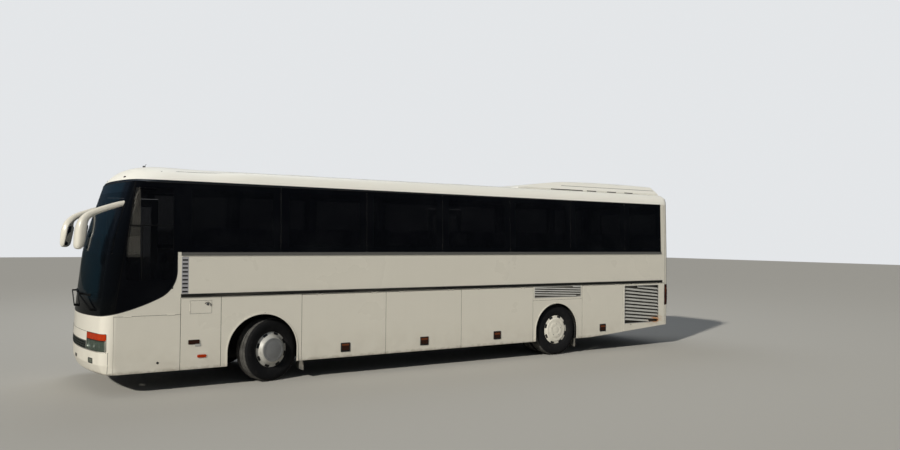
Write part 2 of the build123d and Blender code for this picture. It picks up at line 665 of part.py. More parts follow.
# Wipers: place across of each pivot, of its arm's joint and of the blade's two ends
WIPERS = ((-150, -680, -1000, -230), (850, 300, -90, 690))
WIPER_PIVOT_Z = 1240
WIPER_BLADE_Z = 1440
WIPER_PIVOT_R = 20
WIPER_PIVOT_OUT = 45
WIPER_JOINT_OUT = 70
WIPER_ARM = (12, 26)
WIPER_BLADE = (16, 24)
with BuildPart() as wipers:
    for pivot_y, joint_y, blade_start, blade_end in WIPERS:
        pivot = screen_point(pivot_y, WIPER_PIVOT_Z, WIPER_PIVOT_OUT)
        joint = screen_point(joint_y, WIPER_BLADE_Z, WIPER_JOINT_OUT)
        with BuildSketch(Plane(origin=pivot, z_dir=(-1, 0, 0))):
            Circle(WIPER_PIVOT_R)
        extrude(amount=WIPER_PIVOT_OUT + 20)
        with BuildSketch(Plane(origin=joint, x_dir=(0, 1, 0), z_dir=(-1, 0, 0))):
            Rectangle(1.5 * WIPER_ARM[1], WIPER_BLADE[1])
        extrude(amount=WIPER_JOINT_OUT)
        with BuildSketch(Plane(origin=pivot, x_dir=(1, 0, 0), z_dir=joint - pivot)):
            Rectangle(*WIPER_ARM)
        extrude(amount=(joint - pivot).length)
        with BuildLine():
            blade = ThreePointArc(*(screen_point(y, WIPER_BLADE_Z, WIPER_BLADE[0] / 3)
                                    for y in (blade_start, (blade_start + blade_end) / 2, blade_end)))
        with BuildSketch(Plane(origin=blade @ 0, x_dir=(1, 0, 0), z_dir=blade % 0)):
            Rectangle(*WIPER_BLADE)
        sweep(path=blade)
    add(outer_form, mode=Mode.SUBTRACT)
finish(wipers, "wipers")

# Doors with their swing arms: a door stays parallel to the side while its arms turn
ARM_HEIGHTS = (1080, 1960)
PIN_R = 12
STEP_Z = DOOR_FOOT_Z + 40
POST_FOOT_Z = STEP_Z + 0.3
POST_TOP_Z = 2300
DOOR_PANE = (90, 1150, 2880)
PANE_LEDGE = 25


def door_pane(x_rear, x_front):
    """Pane set flush into a door."""
    side_in, low, high = DOOR_PANE
    with BuildPart() as pane:
        add(GLASS_SKIN[-1])
        block(x_rear + side_in, x_front - side_in, -WIDTH, 0, low, high, Mode.INTERSECT)
        fillet(pane.edges().filter_by(Axis.Y), 60)
    return pane


def door_panel(x_rear, x_front, pane):
    """One plug door with the ears that its arms hold."""
    middle = (x_rear + x_front) / 2
    side_in, low, high = DOOR_PANE
    with BuildPart() as door:
        add(WALL_SKIN[-1])
        block(x_rear, x_front, -WIDTH, 0, DOOR_FOOT_Z, DOOR_TOP_Z, Mode.INTERSECT)
        add(pane.part, mode=Mode.SUBTRACT)
        block(x_rear + side_in + PANE_LEDGE, x_front - side_in - PANE_LEDGE, -WIDTH, 0,
              low + PANE_LEDGE, high - PANE_LEDGE, Mode.SUBTRACT)
        for height in ARM_HEIGHTS:
            for level in (height - 50, height + 50):
                block(middle - 30, middle + 30, -SIDE_Y + WALL - 15, -ARM_END_Y, level - 15, level + 15)
                with Locations((middle, -ARM_END_Y, level)):
                    Cylinder(30, 30)
                    Cylinder(PIN_R + PIN_PLAY, 30, mode=Mode.SUBTRACT)
    return door


def door_arm(x_rear, x_front, forward):
    """Turning post inside the opening, its cranked arms and their end pins."""
    post_x = x_front - ARM_POST_IN if forward > 0 else x_rear + ARM_POST_IN
    middle = (x_rear + x_front) / 2
    crank = radians(270 - DOOR_SWING)
    post = (post_x, -ARM_POST_Y)
    elbow = (post_x + forward * ARM_CRANK * cos(crank), -ARM_POST_Y + ARM_CRANK * sin(crank))
    end = (middle, -ARM_END_Y)
    with BuildPart() as arm:
        with Locations((*post, (POST_FOOT_Z + POST_TOP_Z) / 2)):
            Cylinder(18, POST_TOP_Z - POST_FOOT_Z)
        for height in ARM_HEIGHTS:
            with BuildSketch(Plane.XY.offset(height - 15)):
                with BuildLine() as crank_line:
                    FilletPolyline(post, elbow, end, radius=60)
                trace(crank_line.line, line_width=32)
            extrude(amount=30)
            with Locations((*end, height)):
                Cylinder(24, 30)
                Cylinder(PIN_R, 140)
    return arm


for door_name, (x_rear, x_front), forward in zip(("front_door", "middle_door"), DOORS, (1, -1)):
    pane = door_pane(x_rear, x_front)
    finish(pane, f"{door_name}_glass")
    finish(door_panel(x_rear, x_front, pane), door_name)
    finish(door_arm(x_rear, x_front, forward), f"{door_name}_arm")

# Wheels: outward offsets from the wheel's middle plane and radii
HUB_BORE_R = 45
HUB_R = 125
HUB_HALF = 60
RIM_SHELL = 12
SEAT_PLAY = 0.3
VENT_COUNT = 8
VENT_R = RIM_R - 24
VENT_START = 72


def wheel_plane(hub, outward):
    """Plane whose X runs out along the axle and whose Y is up."""
    ahead = Vector(*outward).cross(Vector(0, 0, 1))
    return Plane(origin=hub, x_dir=outward, z_dir=ahead)


def tyre(hub, outward, offsets=(0,)):
    """Tyres turned about the axle, one at each offset."""
    half = TYRE_WIDTH / 2
    with BuildPart() as ring:
        for offset in offsets:
            with BuildSketch(wheel_plane(hub, outward)):
                with Locations((offset, 0)):
                    with BuildLine():
                        Polyline((-half + 35, RIM_R), (-half, RIM_R + 105), (-half + 14, TYRE_R - 38),
                                 (-half + 48, TYRE_R), (half - 48, TYRE_R), (half - 14, TYRE_R - 38),
                                 (half, RIM_R + 105), (half - 35, RIM_R), close=True)
                    make_face()
            revolve(axis=Axis(hub, outward))
    return ring


def rim(hub, outward, offsets, cap):
    """Rims with disc and hub, and the domed cap over the outer one."""
    barrel = TYRE_WIDTH / 2 - 36
    shell = RIM_R - SEAT_PLAY
    plane = wheel_plane(hub, outward)
    with BuildPart() as wheel:
        for offset in offsets:
            with BuildSketch(plane):
                with BuildLine():
                    Polyline((offset - barrel, shell), (offset + barrel, shell),
                             (offset + barrel, shell - RIM_SHELL), (offset + 24, shell - RIM_SHELL),
                             (offset + 24, HUB_R), (HUB_HALF, HUB_R), (HUB_HALF, HUB_BORE_R + SEAT_PLAY),
                             (-HUB_HALF - (offsets[0] - offsets[-1]), HUB_BORE_R + SEAT_PLAY),
                             (-HUB_HALF - (offsets[0] - offsets[-1]), HUB_R), (offset + 8, HUB_R),
                             (offset + 8, shell - RIM_SHELL), (offset - barrel, shell - RIM_SHELL),
                             close=True)
                make_face()
            revolve(axis=Axis(hub, outward))
        with BuildSketch(plane):
            with BuildLine():
                outer = [(offsets[0] + out, radius) for out, radius in cap]
                Polyline(*outer, (offsets[0] + cap[-1][0] - 8, 0), (offsets[0] + barrel - 10, shell - 2),
                         close=True)
            make_face()
        revolve(axis=Axis(hub, outward))
        face = Plane(origin=hub, x_dir=plane.z_dir, z_dir=outward)
        with BuildSketch(face.offset(offsets[0] + 30)):
            with PolarLocations(VENT_R, VENT_COUNT, start_angle=VENT_START):
                SlotOverall(56, 24, rotation=90)
        extrude(amount=150, mode=Mode.SUBTRACT)
    return wheel


CAP_EDGE = TYRE_WIDTH / 2 - 40
FRONT_CAP = ((CAP_EDGE, RIM_R - 2), (CAP_EDGE + 10, RIM_R - 6), (CAP_EDGE + 20, RIM_R - 40),
             (CAP_EDGE + 62, 208), (CAP_EDGE + 70, 196), (CAP_EDGE + 74, 0))
REAR_CAP = ((CAP_EDGE, RIM_R - 2), (CAP_EDGE + 12, RIM_R - 6), (CAP_EDGE + 20, RIM_R - 44),
            (CAP_EDGE + 30, 222), (CAP_EDGE + 36, 0))

steer = radians(STEER_AT_REST)
for name, side in (("left", 1), ("right", -1)):
    outward = (-sin(steer) * side, cos(steer) * side, 0)
    kingpin = Vector(X_FRONT, side * KINGPIN_Y, HUB_Z)
    spindle_length = FRONT_WHEEL_Y - KINGPIN_Y
    hub = kingpin + Vector(*outward) * spindle_length
    finish(tyre(hub, outward), f"tyre_front_{name}")
    finish(rim(hub, outward, (0,), FRONT_CAP), f"rim_front_{name}")
    rear_hub = Vector(X_REAR, side * REAR_OUTER_Y, HUB_Z)
    finish(tyre(rear_hub, (0, side, 0), (0, -TWIN_SPACING)), f"tyres_rear_{name}")
    finish(rim(rear_hub, (0, side, 0), (0, -TWIN_SPACING), REAR_CAP), f"rims_rear_{name}")

    # Knuckle: kingpin, fork and spindle
    fork = wheel_plane(kingpin, outward)
    with BuildPart() as knuckle:
        with Locations(kingpin):
            Cylinder(KINGPIN_R, 2 * FORK_HALF)
        with BuildSketch(fork):
            with BuildLine():
                Polyline((-32, FORK_HALF), (90, FORK_HALF), (90, -FORK_HALF), (-32, -FORK_HALF),
                         (-32, -FORK_HALF + LUG), (60, -FORK_HALF + LUG), (60, FORK_HALF - LUG),
                         (-32, FORK_HALF - LUG), close=True)
            make_face()
        extrude(amount=45, both=True)
        with BuildSketch(Plane(origin=kingpin, x_dir=fork.z_dir, z_dir=outward).offset(80)):
            Circle(HUB_BORE_R)
        extrude(amount=spindle_length + HUB_HALF - 84)
    finish(knuckle, f"knuckle_{name}")

# Front axle: drop-centre beam with an eye at each kingpin, and its air springs
EYE_HALF = FORK_HALF - LUG - 3
BEAM_TOP_Z = HUB_Z + 20
BEAM_HEIGHT = 90
BEAM_WIDTH = 110
FRAME_Z = 860
FRAME_HEIGHT = 100
FRAME_Y = 400
FRAME_WIDTH = 90
JACK_PAD_R = 55
JACK_PAD = 20
JACK_Y = 600

with BuildPart() as front_axle:
    block(X_FRONT - BEAM_WIDTH / 2, X_FRONT + BEAM_WIDTH / 2, -KINGPIN_Y, KINGPIN_Y,
          BEAM_TOP_Z - BEAM_HEIGHT, BEAM_TOP_Z)
    for side in (1, -1):
        with Locations((X_FRONT, side * KINGPIN_Y, HUB_Z)):
            Cylinder(46, 2 * EYE_HALF)
            Cylinder(KINGPIN_R + PIN_PLAY, 2 * EYE_HALF, mode=Mode.SUBTRACT)
        with Locations((X_FRONT, side * 330, (BEAM_TOP_Z + FRAME_Z) / 2)):
            Cylinder(115, FRAME_Z - BEAM_TOP_Z)
        with Locations((X_FRONT, side * JACK_Y, BEAM_TOP_Z - BEAM_HEIGHT - JACK_PAD / 2)):
            Cylinder(JACK_PAD_R, JACK_PAD)
finish(front_axle, "front_axle")

# Rear axle: tube with its differential, spring beams and four air springs
REAR_BEAM_Y = 430
REAR_BEAM_TOP = HUB_Z - 20
REAR_BEAM_HEIGHT = 90
with BuildPart() as rear_axle:
    with BuildSketch(Plane(origin=(X_REAR, 0, HUB_Z), x_dir=(0, 1, 0), z_dir=(1, 0, 0))):
        with BuildLine():
            end_y = REAR_OUTER_Y + HUB_HALF - 5
            Polyline((-end_y, 0), (-end_y, HUB_BORE_R), (-640, HUB_BORE_R), (-640, 68), (-200, 75),
                     (-150, 170), (-60, 205), (60, 205), (150, 170), (200, 75), (640, 68),
                     (640, HUB_BORE_R), (end_y, HUB_BORE_R), (end_y, 0), close=True)
        make_face()
    revolve(axis=Axis((X_REAR, 0, HUB_Z), (0, 1, 0)))
    for side in (1, -1):
        block(X_REAR - 560, X_REAR + 560, side * REAR_BEAM_Y - 45, side * REAR_BEAM_Y + 45,
              REAR_BEAM_TOP - REAR_BEAM_HEIGHT, REAR_BEAM_TOP)
        with Locations((X_REAR, side * REAR_BEAM_Y, REAR_BEAM_TOP - REAR_BEAM_HEIGHT - JACK_PAD / 2)):
            Cylinder(JACK_PAD_R, JACK_PAD)
        for ahead in (-450, 450):
            with Locations((X_REAR + ahead, side * REAR_BEAM_Y, (REAR_BEAM_TOP + FRAME_Z) / 2)):
                Cylinder(105, FRAME_Z - REAR_BEAM_TOP)
finish(rear_axle, "rear_axle")

# Underframe: luggage bay floor and bulkheads, the beams over the axles, the fuel tank
# and the edge rails that tie the deck to the side walls
BAY_HALF = SIDE_Y - WALL - 10
BULKHEAD = 30
X_FRONT_HOUSE = (X_FRONT - 616, X_FRONT + 706)
CHEEK = 30
STAIR_Y = 500
RAIL_IN = 20
RAIL_SET_BACK = 14
RAIL_SHOULDER = 30
RAIL_TOP_Z = FLAP_TOP_Z + 50
FUEL_TANK = (X_FRONT + 800, X_FRONT + 1330, 330, 1080, 480)
with BuildPart() as underframe:
    block(X_BAY_END + 10, X_BAY_1 - 120, -BAY_HALF, BAY_HALF, BAY_FLOOR_Z - 40, BAY_FLOOR_Z)
    for bulkhead_x in (X_BAY_END + 10, X_BAY_3 - BULKHEAD / 2, X_BAY_2 - BULKHEAD / 2, X_BAY_1 - 120):
        block(bulkhead_x, bulkhead_x + BULKHEAD, -BAY_HALF, BAY_HALF, BAY_FLOOR_Z - 40, DECK_Z - DECK)
    for side in (1, -1):
        frame_y = side * FRAME_Y
        block(X_BAY_1 - 100, X_CORNER + 60, frame_y - FRAME_WIDTH / 2, frame_y + FRAME_WIDTH / 2,
              FRAME_Z, COCKPIT_Z - DECK)
        block(X_TAIL_CORNER + 40, X_BAY_END + 20, frame_y - FRAME_WIDTH / 2, frame_y + FRAME_WIDTH / 2,
              FRAME_Z, FRAME_Z + FRAME_HEIGHT)
        block(X_FRONT - 180, X_FRONT + 180, side * 200, side * 450, FRAME_Z, COCKPIT_Z - DECK)
        for cross_x in (X_REAR - 700, X_GRILLE + 250):
            block(cross_x, cross_x + 60, frame_y - FRAME_WIDTH / 2, frame_y + FRAME_WIDTH / 2,
                  FRAME_Z, DECK_Z - DECK)
    for cross_x in (X_FRONT + 730, X_CORNER):
        block(cross_x, cross_x + 60, -FRAME_Y, FRAME_Y, FRAME_Z, COCKPIT_Z - DECK)
    block(*FUEL_TANK, FRAME_Z)
    block(DOORS[1][0] - CHEEK, DOORS[1][1] + CHEEK, -WIDTH, CHEEK - STAIR_Y, 0, DECK_Z, Mode.SUBTRACT)
    for side in (1, -1):
        with BuildSketch(Plane.YZ.offset(X_TAIL_CORNER)):
            with BuildLine():
                foot, inner, wall = BAY_HALF - RAIL_SET_BACK, BAY_HALF - RAIL_IN - RAIL_SET_BACK, SIDE_Y - WALL
                Polyline((side * inner, DECK_Z), (side * foot, DECK_Z),
                         (side * wall, FLAP_TOP_Z + RAIL_SHOULDER), (side * wall, RAIL_TOP_Z),
                         (side * inner, RAIL_TOP_Z), close=True)
            make_face()
        extrude(amount=X_SERVICE - X_TAIL_CORNER)
    for door_rear, door_front in DOORS:
        block(door_rear - CHEEK, door_front + CHEEK, -WIDTH, CHEEK - STAIR_Y, DECK_Z - DECK, RAIL_TOP_Z,
              Mode.SUBTRACT)
finish(underframe, "underframe")

# Engine with its gearbox, one plain block on the rear beams
with BuildPart() as engine:
    block(X_TAIL + 260, X_GRILLE + 200, -340, 340, 480, DECK_Z - DECK - 30)
    for foot_x in (X_TAIL + 500, X_GRILLE - 100):
        block(foot_x, foot_x + 120, -FRAME_Y - 40, FRAME_Y + 40, FRAME_Z + FRAME_HEIGHT,
              FRAME_Z + FRAME_HEIGHT + 40)
finish(engine, "engine")

# Exhaust: silencer under the left frame rail and the tail pipe
SILENCER_R = 150
TAIL_PIPE_R = 45
TAIL_PIPE_Z = 420
with BuildPart() as exhaust:
    with Locations((X_GRILLE - 60, 640, FRAME_Z - SILENCER_R - 90)):
        Cylinder(SILENCER_R, 700, rotation=(0, 90, 0))
    with BuildLine() as pipe_line:
        FilletPolyline((X_GRILLE - 380, 640, FRAME_Z - SILENCER_R - 90), (X_GRILLE - 620, 640, TAIL_PIPE_Z),
                       (X_TAIL + 70, 640, TAIL_PIPE_Z), radius=120)
    with BuildSketch(Plane(origin=pipe_line.line @ 0, z_dir=pipe_line.line % 0)):
        Circle(TAIL_PIPE_R)
        Circle(TAIL_PIPE_R - 3, mode=Mode.SUBTRACT)
    sweep(path=pipe_line.line)
    for strap_x in (X_GRILLE - 260, X_GRILLE + 140):
        block(strap_x - 20, strap_x + 20, FRAME_Y + FRAME_WIDTH / 2 - 10, 660, FRAME_Z - 100, FRAME_Z)
finish(exhaust, "exhaust")

# Floors: passenger deck, cockpit floor and the riser between them
TAIL_PLAY = 25
with BuildPart() as floor_deck:
    block(X_TAIL + WALL + TAIL_PLAY, X_SERVICE, -BAY_HALF, BAY_HALF, DECK_Z - DECK, DECK_Z)
    for door_rear, door_front in DOORS:
        block(door_rear - CHEEK, door_front + CHEEK, -WIDTH, -STAIR_Y, 0, DECK_Z, Mode.SUBTRACT)
    with BuildSketch(Plane.XY.offset(COCKPIT_Z - DECK)):
        with BuildLine():
            rear_x = DOORS[0][0] - CHEEK
            Polyline((rear_x, -STAIR_Y), (WINDSCREEN_X, -STAIR_Y), (WINDSCREEN_X, BAY_HALF - 90),
                     (X_CORNER - 91, BAY_HALF), (rear_x, BAY_HALF), close=True)
        make_face()
    extrude(amount=DECK)
    block(X_SERVICE - DECK, X_SERVICE, -STAIR_Y, BAY_HALF, COCKPIT_Z - DECK, DECK_Z)
finish(floor_deck, "floor_deck")

# Steps behind both doors: treads and risers between two cheeks
STEP_COUNT = 3
TREAD = 30
TREAD_Y = (BAY_HALF, 950, 725, STAIR_Y)
with BuildPart() as steps:
    for (door_rear, door_front), top in zip(DOORS, (COCKPIT_Z, DECK_Z)):
        rise = (top - STEP_Z) / STEP_COUNT
        for step in range(STEP_COUNT):
            level = STEP_Z + step * rise
            block(door_rear, door_front, -TREAD_Y[step], -TREAD_Y[step + 1], level - TREAD, level)
            block(door_rear, door_front, -TREAD - TREAD_Y[step + 1], -TREAD_Y[step + 1], level - TREAD,
                  level + rise)
        for cheek_x in (door_rear - CHEEK, door_front):
            block(cheek_x, cheek_x + CHEEK, -BAY_HALF, -STAIR_Y, STEP_Z - TREAD, top)
finish(steps, "steps")

# Wheel houses: box liners in front, ring liners behind, open outwards and below
LINER = 6
HOUSE_TOP_Z = 1120
HOUSE_OUTER_Y = BAY_HALF - 5
HANGER = 40
with BuildPart() as wheel_houses:
    for side in (1, -1):
        with BuildSketch(Plane.XZ.offset(-side * 480)) as front_house:
            with Locations(((X_FRONT_HOUSE[0] + X_FRONT_HOUSE[1]) / 2, HOUSE_TOP_Z - 400)):
                Rectangle(X_FRONT_HOUSE[1] - X_FRONT_HOUSE[0], 800)
            fillet(front_house.vertices().group_by(Axis.Y)[-1], 250)
        extrude(amount=-side * (HOUSE_OUTER_Y - 480))
        with BuildSketch(Plane.XZ.offset(-side * (480 + LINER))) as front_room:
            with Locations(((X_FRONT_HOUSE[0] + X_FRONT_HOUSE[1]) / 2, HOUSE_TOP_Z - 400 - LINER)):
                Rectangle(X_FRONT_HOUSE[1] - X_FRONT_HOUSE[0] - 2 * LINER, 800)
            fillet(front_room.vertices().group_by(Axis.Y)[-1], 250 - LINER)
        extrude(amount=-side * (HOUSE_OUTER_Y - 480), mode=Mode.SUBTRACT)
        block(X_FRONT - BEAM_WIDTH / 2 - 30, X_FRONT + BEAM_WIDTH / 2 + 30, side * 470,
              side * (490 + LINER), 0, BEAM_TOP_Z + 40, Mode.SUBTRACT)
        block(X_FRONT_HOUSE[0] - LINER, X_BAY_1 + 10, side * (BAY_HALF - 10), side * WIDTH, 0, DECK_Z,
              Mode.SUBTRACT)
        with BuildSketch(Plane.XZ.offset(-side * 570)):
            add(arch_outline(*REAR_ARCH[:2], REAR_ARCH_R + 2 * LINER))
            add(arch_outline(*REAR_ARCH[:2], REAR_ARCH_R + LINER), mode=Mode.SUBTRACT)
            with Locations((X_REAR, 0)):
                Rectangle(2000, 2 * SILL_Z, mode=Mode.SUBTRACT)
        extrude(amount=-side * (HOUSE_OUTER_Y - 570))
        for hanger_x, foot_z in ((X_FRONT - 200, HOUSE_TOP_Z), (X_FRONT + 300, HOUSE_TOP_Z),
                                 (X_REAR + REAR_ARCH_SHIFT, REAR_ARCH_Z + REAR_ARCH_R + LINER)):
            block(hanger_x - HANGER / 2, hanger_x + HANGER / 2, side * 700, side * (700 + HANGER),
                  foot_z, DECK_Z - DECK)
finish(wheel_houses, "wheel_houses")

# Mud flaps behind the wheels
with BuildPart() as mud_flaps:
    for side in (1, -1):
        for flap_x, y_in in ((X_FRONT_HOUSE[0], 880), (X_REAR + REAR_ARCH_SHIFT - REAR_ARCH_R - 2 * LINER, 620)):
            block(flap_x - 8, flap_x, side * y_in, side * (BAY_HALF - 5), 135, 460)
finish(mud_flaps, "mud_flaps")


# Seats in side view, facing +X, foot at the origin: the cushion on its pedestal, and the back
CUSHION = ((-380, 0), (-120, 0), (-120, 330), (20, 350), (20, 450), (-475, 450), (-490, 350), (-380, 330))
BACKREST = ((-400, 450), (-510, 1120), (-610, 1110), (-475, 450))
SEAT_PITCH = 860
SEAT_ROWS = 12
SEAT_REACH = 620
FIRST_ROW_X = X_SERVICE - 520
BENCH = (340, 1150)
DRIVER_SEAT_HALF = 260


def seat_row_places():
    """Place and side of each bench; the right side stays free at the doors."""
    for row in range(SEAT_ROWS):
        seat_x = FIRST_ROW_X - row * SEAT_PITCH
        yield seat_x, 1
        if not any(door_rear - 60 < seat_x and seat_x - SEAT_REACH < door_front + 60
                   for door_rear, door_front in DOORS):
            yield seat_x, -1


def seat_parts(outline):
    """One outline extruded at every bench and at the driver's place."""
    with BuildPart() as parts:
        for seat_x, side in seat_row_places():
            with BuildSketch(Plane.XZ.offset(-BENCH[1] if side > 0 else BENCH[0])):
                with Locations((seat_x, DECK_Z)):
                    Polygon(*outline, align=None)
            extrude(amount=BENCH[1] - BENCH[0])
        with BuildSketch(Plane.XZ.offset(-DRIVER_Y - DRIVER_SEAT_HALF)):
            with Locations((X_DRIVER_SEAT, COCKPIT_Z)):
                Polygon(*outline, align=None)
        extrude(amount=2 * DRIVER_SEAT_HALF)
    return parts


finish(seat_parts(CUSHION), "seats")
finish(seat_parts(BACKREST), "seat_backs")

# Dashboard with the steering column and wheel
with BuildPart() as dashboard:
    with BuildSketch(Plane.XZ.offset(-1000)):
        with BuildLine():
            dash_x = X_FRONT + 2430
            Polyline((dash_x, COCKPIT_Z), (dash_x, 1330), (dash_x - 120, 1400), (dash_x - 230, 1360),
                     (dash_x - 250, 1250), (dash_x - 140, 1180), (dash_x - 140, COCKPIT_Z), close=True)
        make_face()
    extrude(amount=1450)
    wheel_face = Plane(origin=(X_DRIVER_SEAT + 155, DRIVER_Y, 1640), z_dir=(-1, 0, 1.6))
    with Locations(wheel_face):
        Torus(STEERING_WHEEL_R, 15)
        Cylinder(40, 40)
        Box(2 * STEERING_WHEEL_R, 34, 14)
        Cylinder(24, 330, align=(Align.CENTER, Align.CENTER, Align.MAX))
finish(dashboard, "dashboard")
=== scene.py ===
from math import atan2, cos, pi, radians, sin, sqrt, tan

import bmesh
import bpy
from mathutils import Matrix, Vector
from mathutils.bvhtree import BVHTree


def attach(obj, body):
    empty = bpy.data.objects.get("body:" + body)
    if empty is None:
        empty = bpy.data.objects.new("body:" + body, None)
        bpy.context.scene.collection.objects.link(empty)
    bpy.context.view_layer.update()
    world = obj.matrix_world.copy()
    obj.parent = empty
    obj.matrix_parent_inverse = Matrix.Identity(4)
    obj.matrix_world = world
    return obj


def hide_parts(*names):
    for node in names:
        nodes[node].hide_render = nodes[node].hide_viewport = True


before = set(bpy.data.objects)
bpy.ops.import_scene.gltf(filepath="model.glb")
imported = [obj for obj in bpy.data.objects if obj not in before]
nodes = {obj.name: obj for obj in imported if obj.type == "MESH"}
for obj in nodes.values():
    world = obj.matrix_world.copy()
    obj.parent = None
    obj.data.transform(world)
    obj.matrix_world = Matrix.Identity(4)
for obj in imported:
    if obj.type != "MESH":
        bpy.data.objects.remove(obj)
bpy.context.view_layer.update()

# Lengthwise places and heights of the coach, in metres, with +X ahead and +Y to the driver's side
X_TAIL = -6.111
X_NOSE = 5.889
X_FRONT = 3.229
X_REAR = -2.851
SIDE_Y = 1.25
GLASS_Z = 2.092
GLASS_TOP_Z = 3.146
GLASS_FOOT_Z = 1.138
BUMPER_TOP_Z = 0.64
DECK_Z = 1.36
COCKPIT_Z = 0.94
SIDES = ((1, "left"), (-1, "right"))


def ahead(x):
    """Place along the coach, given ahead of the front axle."""
    return X_FRONT + x


X_CORNER = ahead(2.346)
X_BUMPER_EDGE = ahead(2.413)
X_DRIVER = ahead(1.452)
X_SERVICE = ahead(1.398)
X_TAIL_CORNER = X_TAIL + 0.13
X_GLASS_REAR = X_TAIL + 0.245
X_GRILLE = X_REAR - 1.839
FIRST_POST = ahead(-0.18)
POST_PITCH = 1.56
DOORS = {"front_door": (ahead(1.19), ahead(2.04)), "middle_door": (ahead(-5.334), ahead(-4.484))}
DOOR_Z = (0.335, 2.98)
VENT_X = (ahead(-6.690), ahead(-5.470))
VENT_Z = (1.176, 1.392)

# Camera at the photograph's viewing angle
CAMERA_AT = Vector((ahead(4.568), 13.504, 2.328))
CAMERA_YAW, CAMERA_PITCH, CAMERA_ROLL = radians(-123.191), radians(1.019), radians(0.558)

camera_data = bpy.data.cameras.new("camera")
camera_data.sensor_width = 36
camera_data.lens = 31.69
camera_data.clip_end = 500
camera = bpy.data.objects.new("camera", camera_data)
bpy.context.scene.collection.objects.link(camera)
view = Vector((cos(CAMERA_PITCH) * cos(CAMERA_YAW), cos(CAMERA_PITCH) * sin(CAMERA_YAW), sin(CAMERA_PITCH)))
level_right = view.cross(Vector((0, 0, 1))).normalized()
level_up = level_right.cross(view)
right = level_right * cos(CAMERA_ROLL) + level_up * sin(CAMERA_ROLL)
up = level_up * cos(CAMERA_ROLL) - level_right * sin(CAMERA_ROLL)
camera.matrix_world = Matrix.Translation(CAMERA_AT) @ Matrix((right, up, -view)).transposed().to_4x4()
bpy.context.scene.camera = camera
bpy.context.scene.view_settings.view_transform = "Standard"


def wire(tree, kind, settings=None, **sockets):
    """Add a node: its settings first, then the values or links of its sockets."""
    node = tree.nodes.new(kind)
    for name, value in (settings or {}).items():
        setattr(node, name, value)
    for name, value in sockets.items():
        key = int(name[1:]) if name[0] == "s" and name[1:].isdigit() else name.replace("_", " ")
        if isinstance(value, Value):
            tree.links.new(value.socket, node.inputs[key])
        elif isinstance(value, bpy.types.NodeSocket):
            tree.links.new(value, node.inputs[key])
        else:
            node.inputs[key].default_value = value
    return node


class Value:
    """A number that varies over a surface, which arithmetic builds on."""

    def __init__(self, tree, socket):
        self.tree = tree
        self.socket = socket

    def math(self, operation, *others):
        sockets = {f"s{i}": value for i, value in enumerate((self, *others))}
        node = wire(self.tree, "ShaderNodeMath", {"operation": operation}, **sockets)
        return Value(self.tree, node.outputs[0])

    def __add__(self, other):
        return self.math("ADD", other)

    def __sub__(self, other):
        return self.math("SUBTRACT", other)

    def __mul__(self, other):
        return self.math("MULTIPLY", other)

    def __rsub__(self, other):
        return (self * -1) + other

    __radd__ = __add__
    __rmul__ = __mul__

    def __abs__(self):
        return self.math("ABSOLUTE")

    def over(self, low, high):
        """0 below low and 1 above high, smooth between; falling where low is above high."""
        node = wire(self.tree, "ShaderNodeMapRange", {"interpolation_type": "SMOOTHSTEP"}, Value=self,
                    From_Min=low, From_Max=high)
        return Value(self.tree, node.outputs["Result"])

    def within(self, low, high, soft=0.002):
        """1 between two values."""
        return self.over(low - soft, low) * self.over(high + soft, high)


